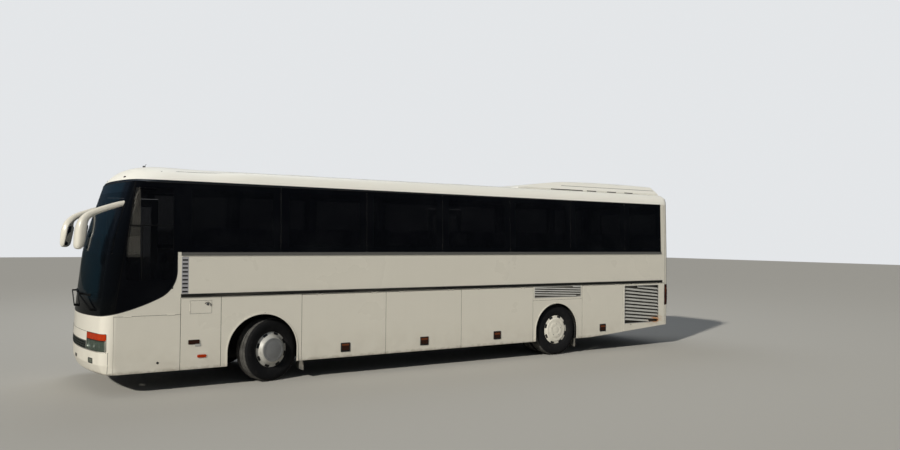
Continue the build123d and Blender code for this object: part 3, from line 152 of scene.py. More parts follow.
class Finish:
    """A material with its shader, its places over the surface and noise."""

    def __init__(self, name, color, rough, metal=0.0, **fixed):
        self.material = bpy.data.materials.new(name)
        self.material.use_nodes = True
        self.tree = self.material.node_tree
        self.shader = self.tree.nodes["Principled BSDF"]
        constants = {"Base_Color": (*color, 1), "Roughness": rough, "Metallic": metal, **fixed}
        for socket, value in constants.items():
            self.shader.inputs[socket.replace("_", " ")].default_value = value
        self.coords = self.tree.nodes.new("ShaderNodeTexCoord").outputs["Object"]
        parts = wire(self.tree, "ShaderNodeSeparateXYZ", Vector=self.coords)
        self.x, self.y, self.z = (Value(self.tree, parts.outputs[i]) for i in range(3))

    def noise(self, scale, detail=3, stretch=(1, 1, 1)):
        """Smooth noise, about 0 to 1."""
        place = wire(self.tree, "ShaderNodeMapping", Vector=self.coords, Scale=stretch)
        cloud = wire(self.tree, "ShaderNodeTexNoise", Vector=place.outputs[0], Scale=scale, Detail=detail)
        return Value(self.tree, cloud.outputs["Fac"])

    def ribs(self, axis, scale):
        """Even ribs across an axis, 0 to 1."""
        wave = wire(self.tree, "ShaderNodeTexWave", {"bands_direction": axis}, Vector=self.coords,
                    Scale=scale)
        return Value(self.tree, wave.outputs["Fac"])

    def weave(self, scale):
        """Crossing threads, 0 to 1."""
        return (self.ribs("X", scale) + self.ribs("Y", scale) + self.ribs("Z", scale)) * 0.33

    def tint(self, factor, color):
        """Mix another colour over the base by a factor."""
        base = self.shader.inputs["Base Color"]
        under = base.links[0].from_socket if base.is_linked else tuple(base.default_value)
        mix = wire(self.tree, "ShaderNodeMix", {"data_type": "RGBA"}, Factor=factor, s6=under, s7=(*color, 1))
        self.tree.links.new(mix.outputs[2], base)
        return self

    def feed(self, socket, value):
        """Let a value drive one socket of the shader."""
        self.tree.links.new(value.socket, self.shader.inputs[socket])
        return self

    def rough(self, factor, low, high):
        """Roughness between two values by a factor."""
        return self.feed("Roughness", factor * (high - low) + low)

    def bump(self, height, distance, strength=1.0):
        """Relief from a height field, in metres."""
        node = wire(self.tree, "ShaderNodeBump", Height=height, Distance=distance, Strength=strength)
        self.tree.links.new(node.outputs[0], self.shader.inputs["Normal"])
        return self

    def stain(self, noise, low, high, strength, color):
        """Mix another colour over the base where noise (scale, detail, stretch) is high."""
        return self.tint(self.noise(*noise).over(low, high) * strength, color)

    def mottle(self, noise, low, high):
        """Roughness between two values by noise."""
        return self.rough(self.noise(*noise), low, high)

    def grain(self, noise, distance, strength):
        """Relief from noise, in metres."""
        return self.bump(self.noise(*noise), distance, strength)


# Colours, and the heights below which the skirt pulls in with its inward run for each metre down
CREAM = (0.785, 0.755, 0.672)
# The roof's cream is the walls' paint made lighter: painted light for the sun that falls more fully on top
PAINTED_LIGHT_ROOF_CREAM = (0.94, 0.925, 0.86)
ROAD_DUST = (0.50, 0.46, 0.38)
SHADOW = (0.02, 0.019, 0.017)
LINING = (0.23, 0.23, 0.22)
RUST = (0.52, 0.17, 0.03)
PRINTED_BLACK = (0.003, 0.0035, 0.004)
SKIRT_TAPERS = ((0.45, 0.0333), (0.33, 0.311))


def body_paint(name, gaps=False, cream=CREAM):
    """Gloss cream paint: faint clouding, run marks and road dust low down; painted shade on the sides of
    panel gaps.
    """
    finish = Finish(name, cream, 0.3, Specular_IOR_Level=0.42, Coat_Weight=0.25, Coat_Roughness=0.12)
    cloud, low, sill = finish.noise(1.1, 4), finish.z.over(0.95, 0.3), finish.z.over(0.38, 0.32)
    finish.tint(cloud.over(0.2, 0.9) * 0.07, (0.66, 0.64, 0.58))
    finish.stain((2.2, 5, (6, 6, 0.35)), 0.45, 0.9, 0.04, (0.55, 0.52, 0.45))
    finish.tint(low * finish.noise(4.0, 6).over(0.2, 0.8) * 0.3, ROAD_DUST)
    finish.tint(sill * finish.noise(11, 5).over(0.4, 0.65) * 0.35, (0.3, 0.26, 0.2))
    if gaps:
        # Painted shade: the sides of panel gaps and slots, a few millimetres in from the outer face, are
        # tinted dark; deeper in, the cabin's inside takes the lining's grey
        upper, lower = (((z - finish.z) * pull).math("MAXIMUM", 0.0) for z, pull in SKIRT_TAPERS)
        depth = SIDE_Y - (upper + lower) - abs(finish.y)
        gap = depth.over(0.0025, 0.0045) * depth.over(0.07, 0.05) * finish.z.over(2.03, 2.01)
        finish.tint(gap * finish.x.over(ahead(2.27), ahead(2.265)), SHADOW)
        finish.tint(depth.over(0.04, 0.045) * finish.z.over(1.3, 1.4), LINING)
    return finish.rough(low * 0.6 + cloud * 0.4, 0.24, 0.46).grain((900, 2), 0.0002, 0.12)


def wall_paint(side, word):
    """Side wall paint, with the grey fields of the louvre and of the slots behind the driver's window."""
    finish = body_paint(f"wall_paint_{word}", True)
    face = abs(finish.y).over(SIDE_Y - 0.0045, SIDE_Y - 0.0025)
    if side > 0:
        slots = finish.x.within(ahead(1.287), ahead(1.389)) * finish.z.within(1.462, 2.02)
        finish.tint(slots * face, (0.4, 0.4, 0.43))
    louvre = finish.x.within(VENT_X[0] - 0.01, VENT_X[1] + 0.01)
    louvre = louvre * finish.z.within(VENT_Z[0] - 0.008, VENT_Z[1] + 0.006)
    return finish.tint(louvre * face * 0.35, (0.5, 0.5, 0.48))


def rusted(finish):
    """Rust stains at the lower rear corner of the grille."""
    grain = finish.noise(16, 6, (0.4, 1, 2.2))
    spot = (finish.x - ahead(-8.90)).math("POWER", 2.0) + ((finish.z - 0.585) * 2.2).math("POWER", 2.0)
    finish.tint(spot.over(0.03, 0.002) * grain.over(0.3, 0.55) * 0.9, RUST)
    return finish.tint(spot.over(0.12, 0.01) * grain.over(0.4, 0.7) * 0.5, (0.6, 0.36, 0.16))


def mask_paint():
    """Paint of the front mask, with its dark intake between the lamps."""
    finish = body_paint("mask_paint")
    intake = abs(finish.y).over(0.642, 0.639) * finish.z.within(0.6425, 0.766, 0.001)
    return finish.tint(intake, (0.035, 0.04, 0.037))


def glazing(name, color, see_through, clear_of, gloss):
    """Dark tinted glass whose printed border lets nothing through."""
    finish = Finish(name, color, 0.05, IOR=gloss).stain((3, 3), 0.4, 0.8, 0.3, (0.012, 0.013, 0.015))
    return finish.feed("Alpha", 1 - clear_of(finish) * see_through).mottle((5, 5), 0.03, 0.1)


def side_pane(finish):
    """Clear middles of the side and rear panes, less clear low down as painted shade; the driver's, which
    reaches lower, is twice as clear.
    """
    along = (finish.x - FIRST_POST) * (1 / POST_PITCH)
    from_post = abs(along - along.math("ROUND")) * POST_PITCH
    driver = finish.x.over(X_DRIVER + 0.04, X_DRIVER + 0.05)
    across = 1 - abs(finish.y).within(0.88, 1.15)
    low = finish.z + driver * 0.5
    clear = (driver + 1) * (low.over(2.38, 2.5) * 0.55 + 0.45) * from_post.over(0.13, 0.145)
    clear = clear * low.over(2.17, 2.18) * finish.z.over(3.06, 3.05) * across
    ahead_of_rear = finish.x.over(X_GLASS_REAR + 0.1, X_GLASS_REAR + 0.11)
    clear = clear * ahead_of_rear.math("MAXIMUM", abs(finish.y).over(1.0, 0.9))
    return clear * finish.x.over(ahead(2.2), ahead(2.17))


def screen_pane(finish):
    """Clear middle of the windscreen."""
    return abs(finish.y).over(1.1, 1.08) * finish.z.within(1.42, 2.98, 0.01)


def door_pane(finish):
    """Clear middle of a door's pane."""
    return finish.z.within(1.2, 2.84, 0.01)


# Paint and glass of the body
wall_left, wall_right = (wall_paint(side, word) for side, word in SIDES)
panel_paint = body_paint("panel_paint", True)
shell_paint = body_paint("shell_paint")
# Roof, hatches and air unit in the lighter cream: painted light on the top of the coach
roof_paint = body_paint("roof_paint", cream=PAINTED_LIGHT_ROOF_CREAM).mottle((3, 4), 0.42, 0.55)
roof_paint.shader.inputs["Coat Weight"].default_value = 0
band_top = (roof_paint.x - X_TAIL) * 0.0029 + GLASS_TOP_Z
band = (band_top - roof_paint.z).over(0.0, 0.002) * roof_paint.x.over(X_GLASS_REAR, X_GLASS_REAR + 0.002)
roof_paint.tint(band, PRINTED_BLACK)
grille_paint = rusted(body_paint("grille_paint", True))
front_paint = mask_paint()
mirror_shell = body_paint("mirror_shell")
side_glass = glazing("side_glass", (0.003, 0.0035, 0.005), 0.19, side_pane, 1.18)
screen_glass = glazing("screen_glass", (0.003, 0.011, 0.018), 0.25, screen_pane, 1.25)
screen_glass.tint(abs(screen_glass.y).over(0.86, 1.0), (0.0025, 0.003, 0.004))
screen_glass.tint(screen_glass.z.over(1.5, 1.3), PRINTED_BLACK)
door_glass = glazing("door_glass", (0.004, 0.005, 0.006), 0.25, door_pane, 1.2)

# Rubber, trim and what lies under the body
wiper_black = Finish("wiper_black", (0.004, 0.004, 0.004), 0.65, Specular_IOR_Level=0.15)
wiper_black.mottle((40, 4), 0.5, 0.8)
glass_seal = Finish("glass_seal", (0.003, 0.003, 0.0035), 0.8, Specular_IOR_Level=0.08)
glass_seal.mottle((25, 4), 0.7, 0.9)
gasket = Finish("gasket_rubber", (0.012, 0.012, 0.012), 0.6, Specular_IOR_Level=0.3)
gasket.stain((7, 5), 0.45, 0.75, 0.5, (0.035, 0.034, 0.032)).mottle((60, 3), 0.45, 0.75)
strips = Finish("trim_strips", (0.013, 0.013, 0.012), 0.5, Specular_IOR_Level=0.3)
strips.tint(strips.z.over(1.9, 1.91), (0.115, 0.115, 0.11))
strips.tint(strips.z.over(2.083, 2.09), (0.02, 0.02, 0.02))
strips.stain((5, 5, (0.3, 1, 3)), 0.5, 0.8, 0.35, (0.14, 0.13, 0.11)).mottle((40, 3), 0.38, 0.6)
chassis = Finish("chassis_black", (0.02, 0.02, 0.019), 0.7)
chassis.stain((9, 6), 0.5, 0.72, 0.5, (0.09, 0.075, 0.055)).mottle((25, 3), 0.6, 0.85)
chassis.grain((120, 4), 0.001, 0.4)
liner = Finish("liner_black", (0.011, 0.011, 0.011), 0.85)
liner.stain((6, 6), 0.45, 0.75, 0.5, (0.05, 0.045, 0.038)).grain((80, 4), 0.001, 0.4)
cast = Finish("cast_iron", (0.05, 0.047, 0.042), 0.65, 0.3)
cast.stain((12, 6), 0.45, 0.7, 0.6, (0.13, 0.085, 0.05)).grain((200, 3), 0.0008, 0.6)
bare_steel = Finish("heated_steel", (0.16, 0.14, 0.12), 0.5, 0.8)
bare_steel.stain((10, 6), 0.4, 0.7, 0.8, (0.2, 0.09, 0.04)).mottle((30, 3), 0.4, 0.75)
engine_grey = Finish("engine_grey", (0.09, 0.095, 0.09), 0.6, 0.2)
engine_grey.stain((5, 6), 0.4, 0.7, 0.6, (0.03, 0.026, 0.02)).grain((60, 3), 0.002, 0.5)
tyre_rubber = Finish("tyre_rubber", (0.006, 0.006, 0.0065), 0.85, Specular_IOR_Level=0.15)
tyre_rubber.stain((14, 6), 0.5, 0.8, 0.3, (0.02, 0.019, 0.017)).grain((260, 3), 0.0006, 0.5)
mud_rubber = Finish("mud_rubber", (0.10, 0.098, 0.09), 0.8)
mud_rubber.stain((9, 6), 0.35, 0.7, 0.6, (0.26, 0.24, 0.2)).grain((70, 4), 0.001, 0.4)

# Rims, mirrors and lamps
rim_front = Finish("rim_front_paint", (0.62, 0.61, 0.57), 0.36, 0.25)
rim_front.stain((18, 6), 0.5, 0.75, 0.4, (0.3, 0.28, 0.24)).mottle((30, 3), 0.28, 0.5)
rim_rear = Finish("rim_rear_paint", (0.82, 0.79, 0.70), 0.42)
rim_rear.stain((13, 6), 0.45, 0.7, 0.3, (0.55, 0.51, 0.43)).mottle((30, 3), 0.32, 0.55)
# Flat discs of the front caps: the rims' silver paint given a darker grey, as painted shade on the caps'
# faces
cap_disc_painted_shade = Finish("cap_disc_painted_shade", (0.34, 0.345, 0.35), 0.42, 0.35)
cap_disc_painted_shade.stain((9, 5), 0.4, 0.7, 0.3, (0.22, 0.22, 0.215)).mottle((40, 3), 0.36, 0.55)
mirror_black = Finish("mirror_black", (0.012, 0.012, 0.013), 0.5).grain((400, 2), 0.0003, 0.5)
mirror_glass = Finish("mirror_glass", (0.62, 0.66, 0.7), 0.03, 1.0).mottle((7, 4), 0.01, 0.07)
lens_clear = Finish("lens_clear", (0.10, 0.13, 0.105), 0.06, Alpha=0.42, Specular_IOR_Level=0.4)
lens_clear.bump(lens_clear.ribs("Y", 42), 0.0012, 0.5)
lens_amber = Finish("lens_amber", (0.45, 0.036, 0.003), 0.14, Specular_IOR_Level=0.4)
lens_amber.stain((30, 3), 0.4, 0.7, 0.5, (0.3, 0.02, 0.003)).bump(lens_amber.ribs("Y", 60), 0.0012, 0.5)
lens_red = Finish("lens_red", (0.34, 0.018, 0.01), 0.14, Specular_IOR_Level=0.5)
lens_red.stain((24, 3), 0.4, 0.7, 0.5, (0.16, 0.008, 0.006)).bump(lens_red.ribs("Z", 60), 0.0012, 0.5)
lens_smoke = Finish("lens_smoke", (0.05, 0.008, 0.006), 0.12, Specular_IOR_Level=0.45)
lens_smoke.tint(lens_smoke.z.over(1.18, 1.2) * lens_smoke.z.over(1.3, 1.29), (0.1, 0.022, 0.007))
lens_smoke.stain((20, 4), 0.4, 0.75, 0.6, (0.02, 0.006, 0.005))
reflector = Finish("lamp_reflector", (0.62, 0.66, 0.64), 0.12, 1.0).mottle((50, 3), 0.05, 0.16)
lamp_bowl = Finish("lamp_bowl", (0.045, 0.052, 0.048), 0.35, 0.4).mottle((35, 3), 0.28, 0.5)
marker_amber = Finish("marker_lens", (0.03, 0.009, 0.004), 0.15)
glint = marker_amber.z.over(0.498, 0.512) * marker_amber.z.over(0.545, 0.535)
marker_amber.tint(glint * 0.7, (0.2, 0.055, 0.018)).mottle((60, 3), 0.08, 0.25)

# Cabin, arms and slats
cloth = Finish("seat_cloth", (0.035, 0.045, 0.085), 0.92, Sheen_Weight=0.3)
cloth.stain((26, 3, (1, 1, 0.5)), 0.5, 0.58, 0.8, (0.12, 0.03, 0.035))
cloth.stain((31, 2, (0.6, 1, 1)), 0.56, 0.6, 0.7, (0.16, 0.15, 0.12)).bump(cloth.weave(260), 0.0006, 0.6)
lining = Finish("lining_grey", LINING, 0.85)
lining.stain((3, 4), 0.4, 0.8, 0.3, (0.16, 0.16, 0.15)).bump(lining.weave(180), 0.0005, 0.4)
floor_cover = Finish("floor_cover", (0.085, 0.083, 0.08), 0.75)
floor_cover.stain((90, 2), 0.55, 0.6, 0.6, (0.2, 0.19, 0.18)).mottle((12, 5), 0.55, 0.85)
dash_grey = Finish("dash_grey", (0.03, 0.03, 0.032), 0.6)
dash_grey.stain((4, 4), 0.4, 0.8, 0.4, (0.06, 0.058, 0.055)).grain((500, 2), 0.0004, 0.5)
arm_steel = Finish("arm_steel", (0.22, 0.22, 0.22), 0.4, 0.8)
arm_steel.stain((12, 5), 0.5, 0.7, 0.5, (0.1, 0.09, 0.08)).mottle((30, 4), 0.32, 0.55)
slat_paint = Finish("slat_paint", (0.50, 0.50, 0.475), 0.4)
slat_paint.stain((9, 5, (0.5, 1, 1)), 0.4, 0.7, 0.4, (0.34, 0.33, 0.3)).mottle((30, 3), 0.32, 0.6)
rusted(slat_paint)
slat_shade = Finish("slat_shade", (0.075, 0.07, 0.062), 0.8)
slat_shade.stain((7, 5), 0.4, 0.7, 0.5, (0.12, 0.11, 0.09)).grain((90, 3), 0.001, 0.4)

FLAPS = [name for name in nodes if "_flap" in name and "grille" not in name]
NODE_FINISHES = (
    (wall_left, ("side_wall_left",)),
    (wall_right, ("side_wall_right",)),
    (panel_paint, ("front_door", "middle_door", *FLAPS)),
    (grille_paint, ("grille_flap_left", "grille_flap_right")),
    (front_paint, ("front_mask",)),
    (shell_paint, ("front_bumper", "rear_wall", "rear_bumper", "engine_cover")),
    (roof_paint, ("roof_shell", "roof_sides", "roof_hatches", "air_conditioner")),
    (side_glass, ("windows",)),
    (screen_glass, ("windscreen",)),
    (door_glass, ("front_door_glass", "middle_door_glass")),
    (strips, ("side_trims",)),
    (wiper_black, ("wipers",)),
    (mud_rubber, ("mud_flaps",)),
    (chassis, ("underframe",)),
    (liner, ("wheel_houses",)),
    (cast, ("front_axle", "rear_axle", "knuckle_left", "knuckle_right")),
    (engine_grey, ("engine",)),
    (bare_steel, ("exhaust",)),
    (tyre_rubber, ("tyre_front_left", "tyre_front_right", "tyres_rear_left", "tyres_rear_right")),
    (rim_front, ("rim_front_left", "rim_front_right")),
    (rim_rear, ("rims_rear_left", "rims_rear_right")),
    (lamp_bowl, ("lamps",)),
    (cloth, ("seats", "seat_backs")),
    (floor_cover, ("floor_deck", "steps")),
    (dash_grey, ("dashboard",)),
    (arm_steel, ("front_door_arm", "middle_door_arm")),
)
for finish, names in NODE_FINISHES:
    for name in names:
        for slot in nodes[name].material_slots:
            slot.material = finish.material

# Section of a rubber strip that lies on a surface: share of its width across, share of its height
STRIP_SECTION = ((-0.5, 0), (-0.5, 0.45), (-0.32, 0.9), (0, 1), (0.32, 0.9), (0.5, 0.45), (0.5, 0))
# Shares of a cover's half width at which its grid has lines, close together near the edge
COVER_LINES = (-1, -0.96, -0.88, -0.7, -0.4, 0, 0.4, 0.7, 0.88, 0.96, 1)


def rounded(a, b, half_u, half_v, radius):
    """Point of a square from -1 to 1 moved into a rectangle with round corners."""
    u, v = a * half_u, b * half_v
    over_u, over_v = abs(u) - (half_u - radius), abs(v) - (half_v - radius)
    if over_u > 0 and over_v > 0:
        shrink = max(over_u, over_v) / sqrt(over_u ** 2 + over_v ** 2)
        u = (half_u - radius + over_u * shrink) * (1 if u > 0 else -1)
        v = (half_v - radius + over_v * shrink) * (1 if v > 0 else -1)
    return u, v


class Piece:
    """One mesh piece of the coach, gathered from simple forms, that rides on a body."""

    def __init__(self, name, finish, body="coach", frame_matrix=Matrix()):
        self.name, self.finish, self.body, self.at = name, finish, body, frame_matrix
        self.bm = bmesh.new()

    def vert(self, place):
        return self.bm.verts.new(self.at @ Vector(place))

    def rings(self, rings, closed=False, capped=True):
        """Skin over rings of equal point counts."""
        count = len(rings[0])
        verts = [[self.vert(p) for p in ring] for ring in rings]
        pairs = list(zip(verts, verts[1:]))
        if closed:
            pairs.append((verts[-1], verts[0]))
        for a, b in pairs:
            for i in range(count):
                j = (i + 1) % count
                self.bm.faces.new((a[i], a[j], b[j], b[i]))
        if capped and not closed:
            self.bm.faces.new(verts[0][::-1])
            self.bm.faces.new(verts[-1])
        return self

    def box(self, x0, x1, y0, y1, z0, z1, soft=0.004):
        """Box with softened edges."""
        made = bmesh.ops.create_cube(self.bm, size=1)["verts"]
        place = Matrix.Translation(((x0 + x1) / 2, (y0 + y1) / 2, (z0 + z1) / 2))
        scale = Matrix.Diagonal((abs(x1 - x0), abs(y1 - y0), abs(z1 - z0), 1))
        bmesh.ops.transform(self.bm, matrix=self.at @ place @ scale, verts=made)
        edges = list(dict.fromkeys(edge for vert in made for edge in vert.link_edges))
        bmesh.ops.bevel(self.bm, geom=edges, offset=soft, segments=2, affect="EDGES")
        return self

    def tube(self, path, radius, sides=12, closed=False, flat=1.0):
        """Round or flattened bar along a path."""
        path = [Vector(p) for p in path]
        rings = []
        side_way = None
        for i, point in enumerate(path):
            before = path[i - 1] if i or closed else path[i]
            after = path[(i + 1) % len(path)] if i + 1 < len(path) or closed else path[i]
            way = (after - before).normalized()
            if side_way is None:
                side_way = way.orthogonal().normalized()
            side_way = (side_way - way * side_way.dot(way)).normalized()
            other = way.cross(side_way)
            rings.append([point + (side_way * cos(2 * pi * k / sides)
                                   + other * sin(2 * pi * k / sides) * flat) * radius for k in range(sides)])
        return self.rings(rings, closed)

    def lathe(self, profile, steps=48):
        """Profile of (radius, height) pairs turned about the frame's Z."""
        turned = [[self.vert((r * cos(turn), r * sin(turn), h)) for r, h in profile]
                  for turn in (2 * pi * k / steps for k in range(steps))]
        for k in range(steps):
            a, b = turned[k], turned[(k + 1) % steps]
            for i in range(len(profile) - 1):
                self.bm.faces.new((a[i], b[i], b[i + 1], a[i + 1]))
        return self

    def strip(self, spots, width, proud, closed=False, sink=0.002):
        """Rubber strip along places on a surface, each given with its outward normal."""
        rings = []
        count = len(spots)
        for i, (point, normal) in enumerate(spots):
            before = spots[i - 1][0] if i or closed else point
            after = spots[(i + 1) % count][0] if i + 1 < count or closed else point
            across = normal.cross(after - before).normalized()
            rings.append([point + across * (width * a) + normal * (proud * h - (0 if h else sink))
                          for a, h in STRIP_SECTION])
        return self.rings(rings, closed)

    def cover(self, spot, half_u, half_v, radius, lift, crown=0.0, sink=0.003):
        """Thin crowned cover on a surface; spot(u, v) gives a place and its outward normal."""
        lines = COVER_LINES
        grid = []
        for a in lines:
            row = []
            for b in lines:
                point, normal = spot(*rounded(a, b, half_u, half_v, radius))
                rise = lift + crown * (1 - max(abs(a), abs(b)) ** 4)
                row.append((self.vert(point + normal * rise), point - normal * sink))
            grid.append(row)
        last = len(lines) - 1
        for i in range(last):
            for j in range(last):
                self.bm.faces.new([grid[i + p][j + q][0] for p, q in ((0, 0), (1, 0), (1, 1), (0, 1))])
        border = ([(i, 0) for i in range(last)] + [(last, j) for j in range(last)]
                  + [(i, last) for i in range(last, 0, -1)] + [(0, j) for j in range(last, 0, -1)])
        low = [self.vert(grid[i][j][1]) for i, j in border]
        for k, (i, j) in enumerate(border):
            ni, nj = border[(k + 1) % len(border)]
            self.bm.faces.new((grid[i][j][0], grid[ni][nj][0], low[(k + 1) % len(border)], low[k]))
        self.bm.faces.new(low[::-1])
        return self

    def tray(self, spot, half_u, half_v, radius, depth):
        """Open tray sunk into a surface."""
        around = outline(spot, half_u, half_v, radius)
        rim = [point - normal * 0.002 for point, normal in around]
        foot = [point - normal * depth for point, normal in around]
        self.rings([rim, foot], capped=False)
        self.bm.faces.new([self.vert(p) for p in foot])
        return self

    def done(self, smooth=35, replaces=()):
        """Turn the gathered forms into an object."""
        bmesh.ops.remove_doubles(self.bm, verts=self.bm.verts, dist=1e-6)
        bmesh.ops.recalc_face_normals(self.bm, faces=self.bm.faces)
        mesh = bpy.data.meshes.new(self.name)
        self.bm.to_mesh(mesh)
        self.bm.free()
        mesh.materials.append(self.finish.material)
        mesh.shade_smooth()
        mesh.set_sharp_from_angle(angle=radians(smooth))
        piece = bpy.data.objects.new(self.name, mesh)
        bpy.context.scene.collection.objects.link(piece)
        if self.body:
            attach(piece, self.body)
        if replaces:
            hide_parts(*replaces)
        return piece


def outline(spot, half_u, half_v, radius, steps=9):
    """Places and normals once around a rectangle with round corners."""
    corners = ((1, 1, 0), (-1, 1, 90), (-1, -1, 180), (1, -1, 270))
    around = []
    for sign_u, sign_v, start in corners:
        for k in range(steps):
            turn = radians(start + 90 * k / (steps - 1))
            around.append((sign_u * (half_u - radius) + radius * cos(turn),
                           sign_v * (half_v - radius) + radius * sin(turn)))
    path = []
    for k, (u, v) in enumerate(around):
        next_u, next_v = around[(k + 1) % len(around)]
        run = sqrt((next_u - u) ** 2 + (next_v - v) ** 2)
        extra = max(1, int(run / 0.12))
        path += [(u + (next_u - u) * s / extra, v + (next_v - v) * s / extra) for s in range(extra)]
    return [spot(u, v) for u, v in path]


class Skin:
    """Outer surface of some CAD nodes, for pieces that lie on it."""

    def __init__(self, *names):
        points, faces = [], []
        for name in names:
            mesh = (nodes.get(name) or bpy.data.objects[name]).data
            start = len(points)
            points += [vert.co.copy() for vert in mesh.vertices]
            faces += [[start + i for i in face.vertices] for face in mesh.polygons]
        self.tree = BVHTree.FromPolygons(points, faces)

    def land(self, start, way):
        """Place and outward normal where a ray lands."""
        point, normal, _, _ = self.tree.ray_cast(Vector(start), Vector(way))
        if point is None:
            raise ValueError(f"nothing lies beyond {tuple(start)} towards {tuple(way)}")
        return point, -normal if normal.dot(Vector(way)) > 0 else normal

    def side(self, x, z, side=1):
        return self.land((x, side * 3, z), (0, -side, 0))

    def nose(self, y, z):
        return self.land((X_NOSE + 2, y, z), (-1, 0, 0))

    def tail(self, y, z):
        return self.land((X_TAIL - 2, y, z), (1, 0, 0))

    def top(self, x, y):
        return self.land((x, y, 6), (0, 0, -1))

    def fan(self, axis, turn, z):
        """Where a level ray towards an upright axis lands."""
        way = Vector((cos(turn), sin(turn), 0))
        return self.land(Vector((axis[0], axis[1], z)) + way * 2, -way)


def about(land, first, second, *more):
    """Places on a surface about a centre, by run along its two ways; land gives a place and its normal."""
    return lambda u, v: land(first + u, second + v, *more)


def flat_side(x, z, side):
    """Place and outward normal on the flat outer face of a side."""
    return Vector((x, side * SIDE_Y, z)), Vector((0, side, 0))


def held(share):
    """A share kept from 0 to 1."""
    return min(1, max(0, share))


def repeat_tree():
    """Tree that sets a form at every point, turned by the point's own angles, as one mesh."""
    tree = bpy.data.node_groups.new("repeat_form", "GeometryNodeTree")
    inputs = {"Points": "Geometry", "Form": "Object", "Size": "Float", "Finish": "Material"}
    for label, kind in inputs.items():
        tree.interface.new_socket(name=label, in_out="INPUT", socket_type=f"NodeSocket{kind}")
    tree.interface.new_socket(name="Mesh", in_out="OUTPUT", socket_type="NodeSocketGeometry")
    given = tree.nodes.new("NodeGroupInput").outputs
    form = wire(tree, "GeometryNodeObjectInfo", Object=given["Form"])
    turn = wire(tree, "GeometryNodeInputNamedAttribute", {"data_type": "FLOAT_VECTOR"}, Name="turn")
    stretch = wire(tree, "GeometryNodeInputNamedAttribute", {"data_type": "FLOAT_VECTOR"}, Name="stretch")
    scale = wire(tree, "ShaderNodeVectorMath", {"operation": "SCALE"}, Vector=stretch.outputs["Attribute"],
                 Scale=given["Size"])
    angles = wire(tree, "FunctionNodeEulerToRotation", Euler=turn.outputs["Attribute"])
    copies = wire(tree, "GeometryNodeInstanceOnPoints", Points=given["Points"], Scale=scale.outputs["Vector"],
                  Instance=form.outputs["Geometry"], Rotation=angles.outputs["Rotation"])
    real = wire(tree, "GeometryNodeRealizeInstances", Geometry=copies.outputs["Instances"])
    dressed = wire(tree, "GeometryNodeSetMaterial", Geometry=real.outputs["Geometry"],
                   Material=given["Finish"])
    end = tree.nodes.new("NodeGroupOutput")
    tree.links.new(dressed.outputs["Geometry"], end.inputs["Mesh"])
    return tree


REPEAT = repeat_tree()


def repeated(name, form, finish, body, places, size=1.0):
    """Copies of a form at matrices, as one piece that rides on a body. The form itself stays for more."""
    mesh = bpy.data.meshes.new(f"{name}_points")
    mesh.from_pydata([place.translation for place in places], [], [])
    turns = mesh.attributes.new("turn", "FLOAT_VECTOR", "POINT")
    stretches = mesh.attributes.new("stretch", "FLOAT_VECTOR", "POINT")
    for k, place in enumerate(places):
        turns.data[k].vector = place.to_euler()
        stretches.data[k].vector = place.to_scale()
    piece = bpy.data.objects.new(name, mesh)
    bpy.context.scene.collection.objects.link(piece)
    modifier = piece.modifiers.new("copies", "NODES")
    modifier.node_group = REPEAT
    inputs = {item.name: item.identifier for item in REPEAT.interface.items_tree if item.in_out == "INPUT"}
    modifier[inputs["Form"]] = form
    modifier[inputs["Size"]] = size
    modifier[inputs["Finish"]] = finish.material
    made = bpy.data.meshes.new_from_object(piece.evaluated_get(bpy.context.evaluated_depsgraph_get()))
    piece.modifiers.clear()
    piece.data = made
    made.name = name
    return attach(piece, body)


def frame_on(point, normal, upright=Vector((0, 0, 1))):
    """Matrix with Z along a normal and Y as upright as it can be."""
    across = upright.cross(normal).normalized()
    turned = Matrix((across, normal.cross(across), normal)).transposed().to_4x4()
    return Matrix.Translation(point) @ turned


def steps_between(low, high, count):
    """Evenly spaced values with both ends."""
    return [low + (high - low) * k / (count - 1) for k in range(count)]


# Wheels: each with its body, CAD tyre node, frame at the hub whose Z runs out along the axle, tyre offsets
STEER = radians(14)
TYRE_R = 0.51
KINGPIN_Y = 0.86
SPINDLE = 0.18
REAR_HUB_Y = 1.055
TWIN_SPACING = 0.335
TYRE_HALF = 0.1475
RIM_R = 0.286
CAP_EDGE = TYRE_HALF - 0.04

WHEELS = []
for side, word in SIDES:
    out = Vector((-sin(STEER) * side, cos(STEER) * side, 0))
    hub = Vector((X_FRONT, side * KINGPIN_Y, TYRE_R)) + out * SPINDLE
    WHEELS.append((f"wheel_front_{word}", f"tyre_front_{word}", frame_on(hub, out), (0,)))
    rear_hub = Vector((X_REAR, side * REAR_HUB_Y, TYRE_R))
    WHEELS.append((f"wheels_rear_{word}", f"tyres_rear_{word}", frame_on(rear_hub, Vector((0, side, 0))),
                   (0, -TWIN_SPACING)))

# Half of a tyre's section: radius, distance from the middle plane, depth of the shoulder notches
TREAD_GROOVES = (0.026, 0.074)
HALF_SECTION = [(0.51, 0.0, 0)]
for groove in TREAD_GROOVES:
    HALF_SECTION += [(0.51, groove - 0.006, 0), (0.498, groove - 0.004, 0), (0.498, groove + 0.004, 0),
                     (0.51, groove + 0.006, 0)]
HALF_SECTION += [(0.509, 0.098, 0.008), (0.506, 0.112, 0.008), (0.494, 0.124, 0.007), (0.478, 0.132, 0),
                 (0.468, 0.1365, 0), (0.4655, 0.1395, 0), (0.450, 0.1425, 0), (0.425, 0.1465, 0),
                 (0.391, 0.1475, 0), (0.386, 0.1462, 0), (0.360, 0.1440, 0), (0.335, 0.1375, 0),
                 (0.331, 0.1385, 0), (0.318, 0.1320, 0), (0.303, 0.1240, 0), (0.292, 0.1180, 0),
                 (0.286, 0.1090, 0)]
TYRE_SECTION = [(r, -w, notch) for r, w, notch in HALF_SECTION[:0:-1]] + HALF_SECTION
TYRE_STEPS = 144


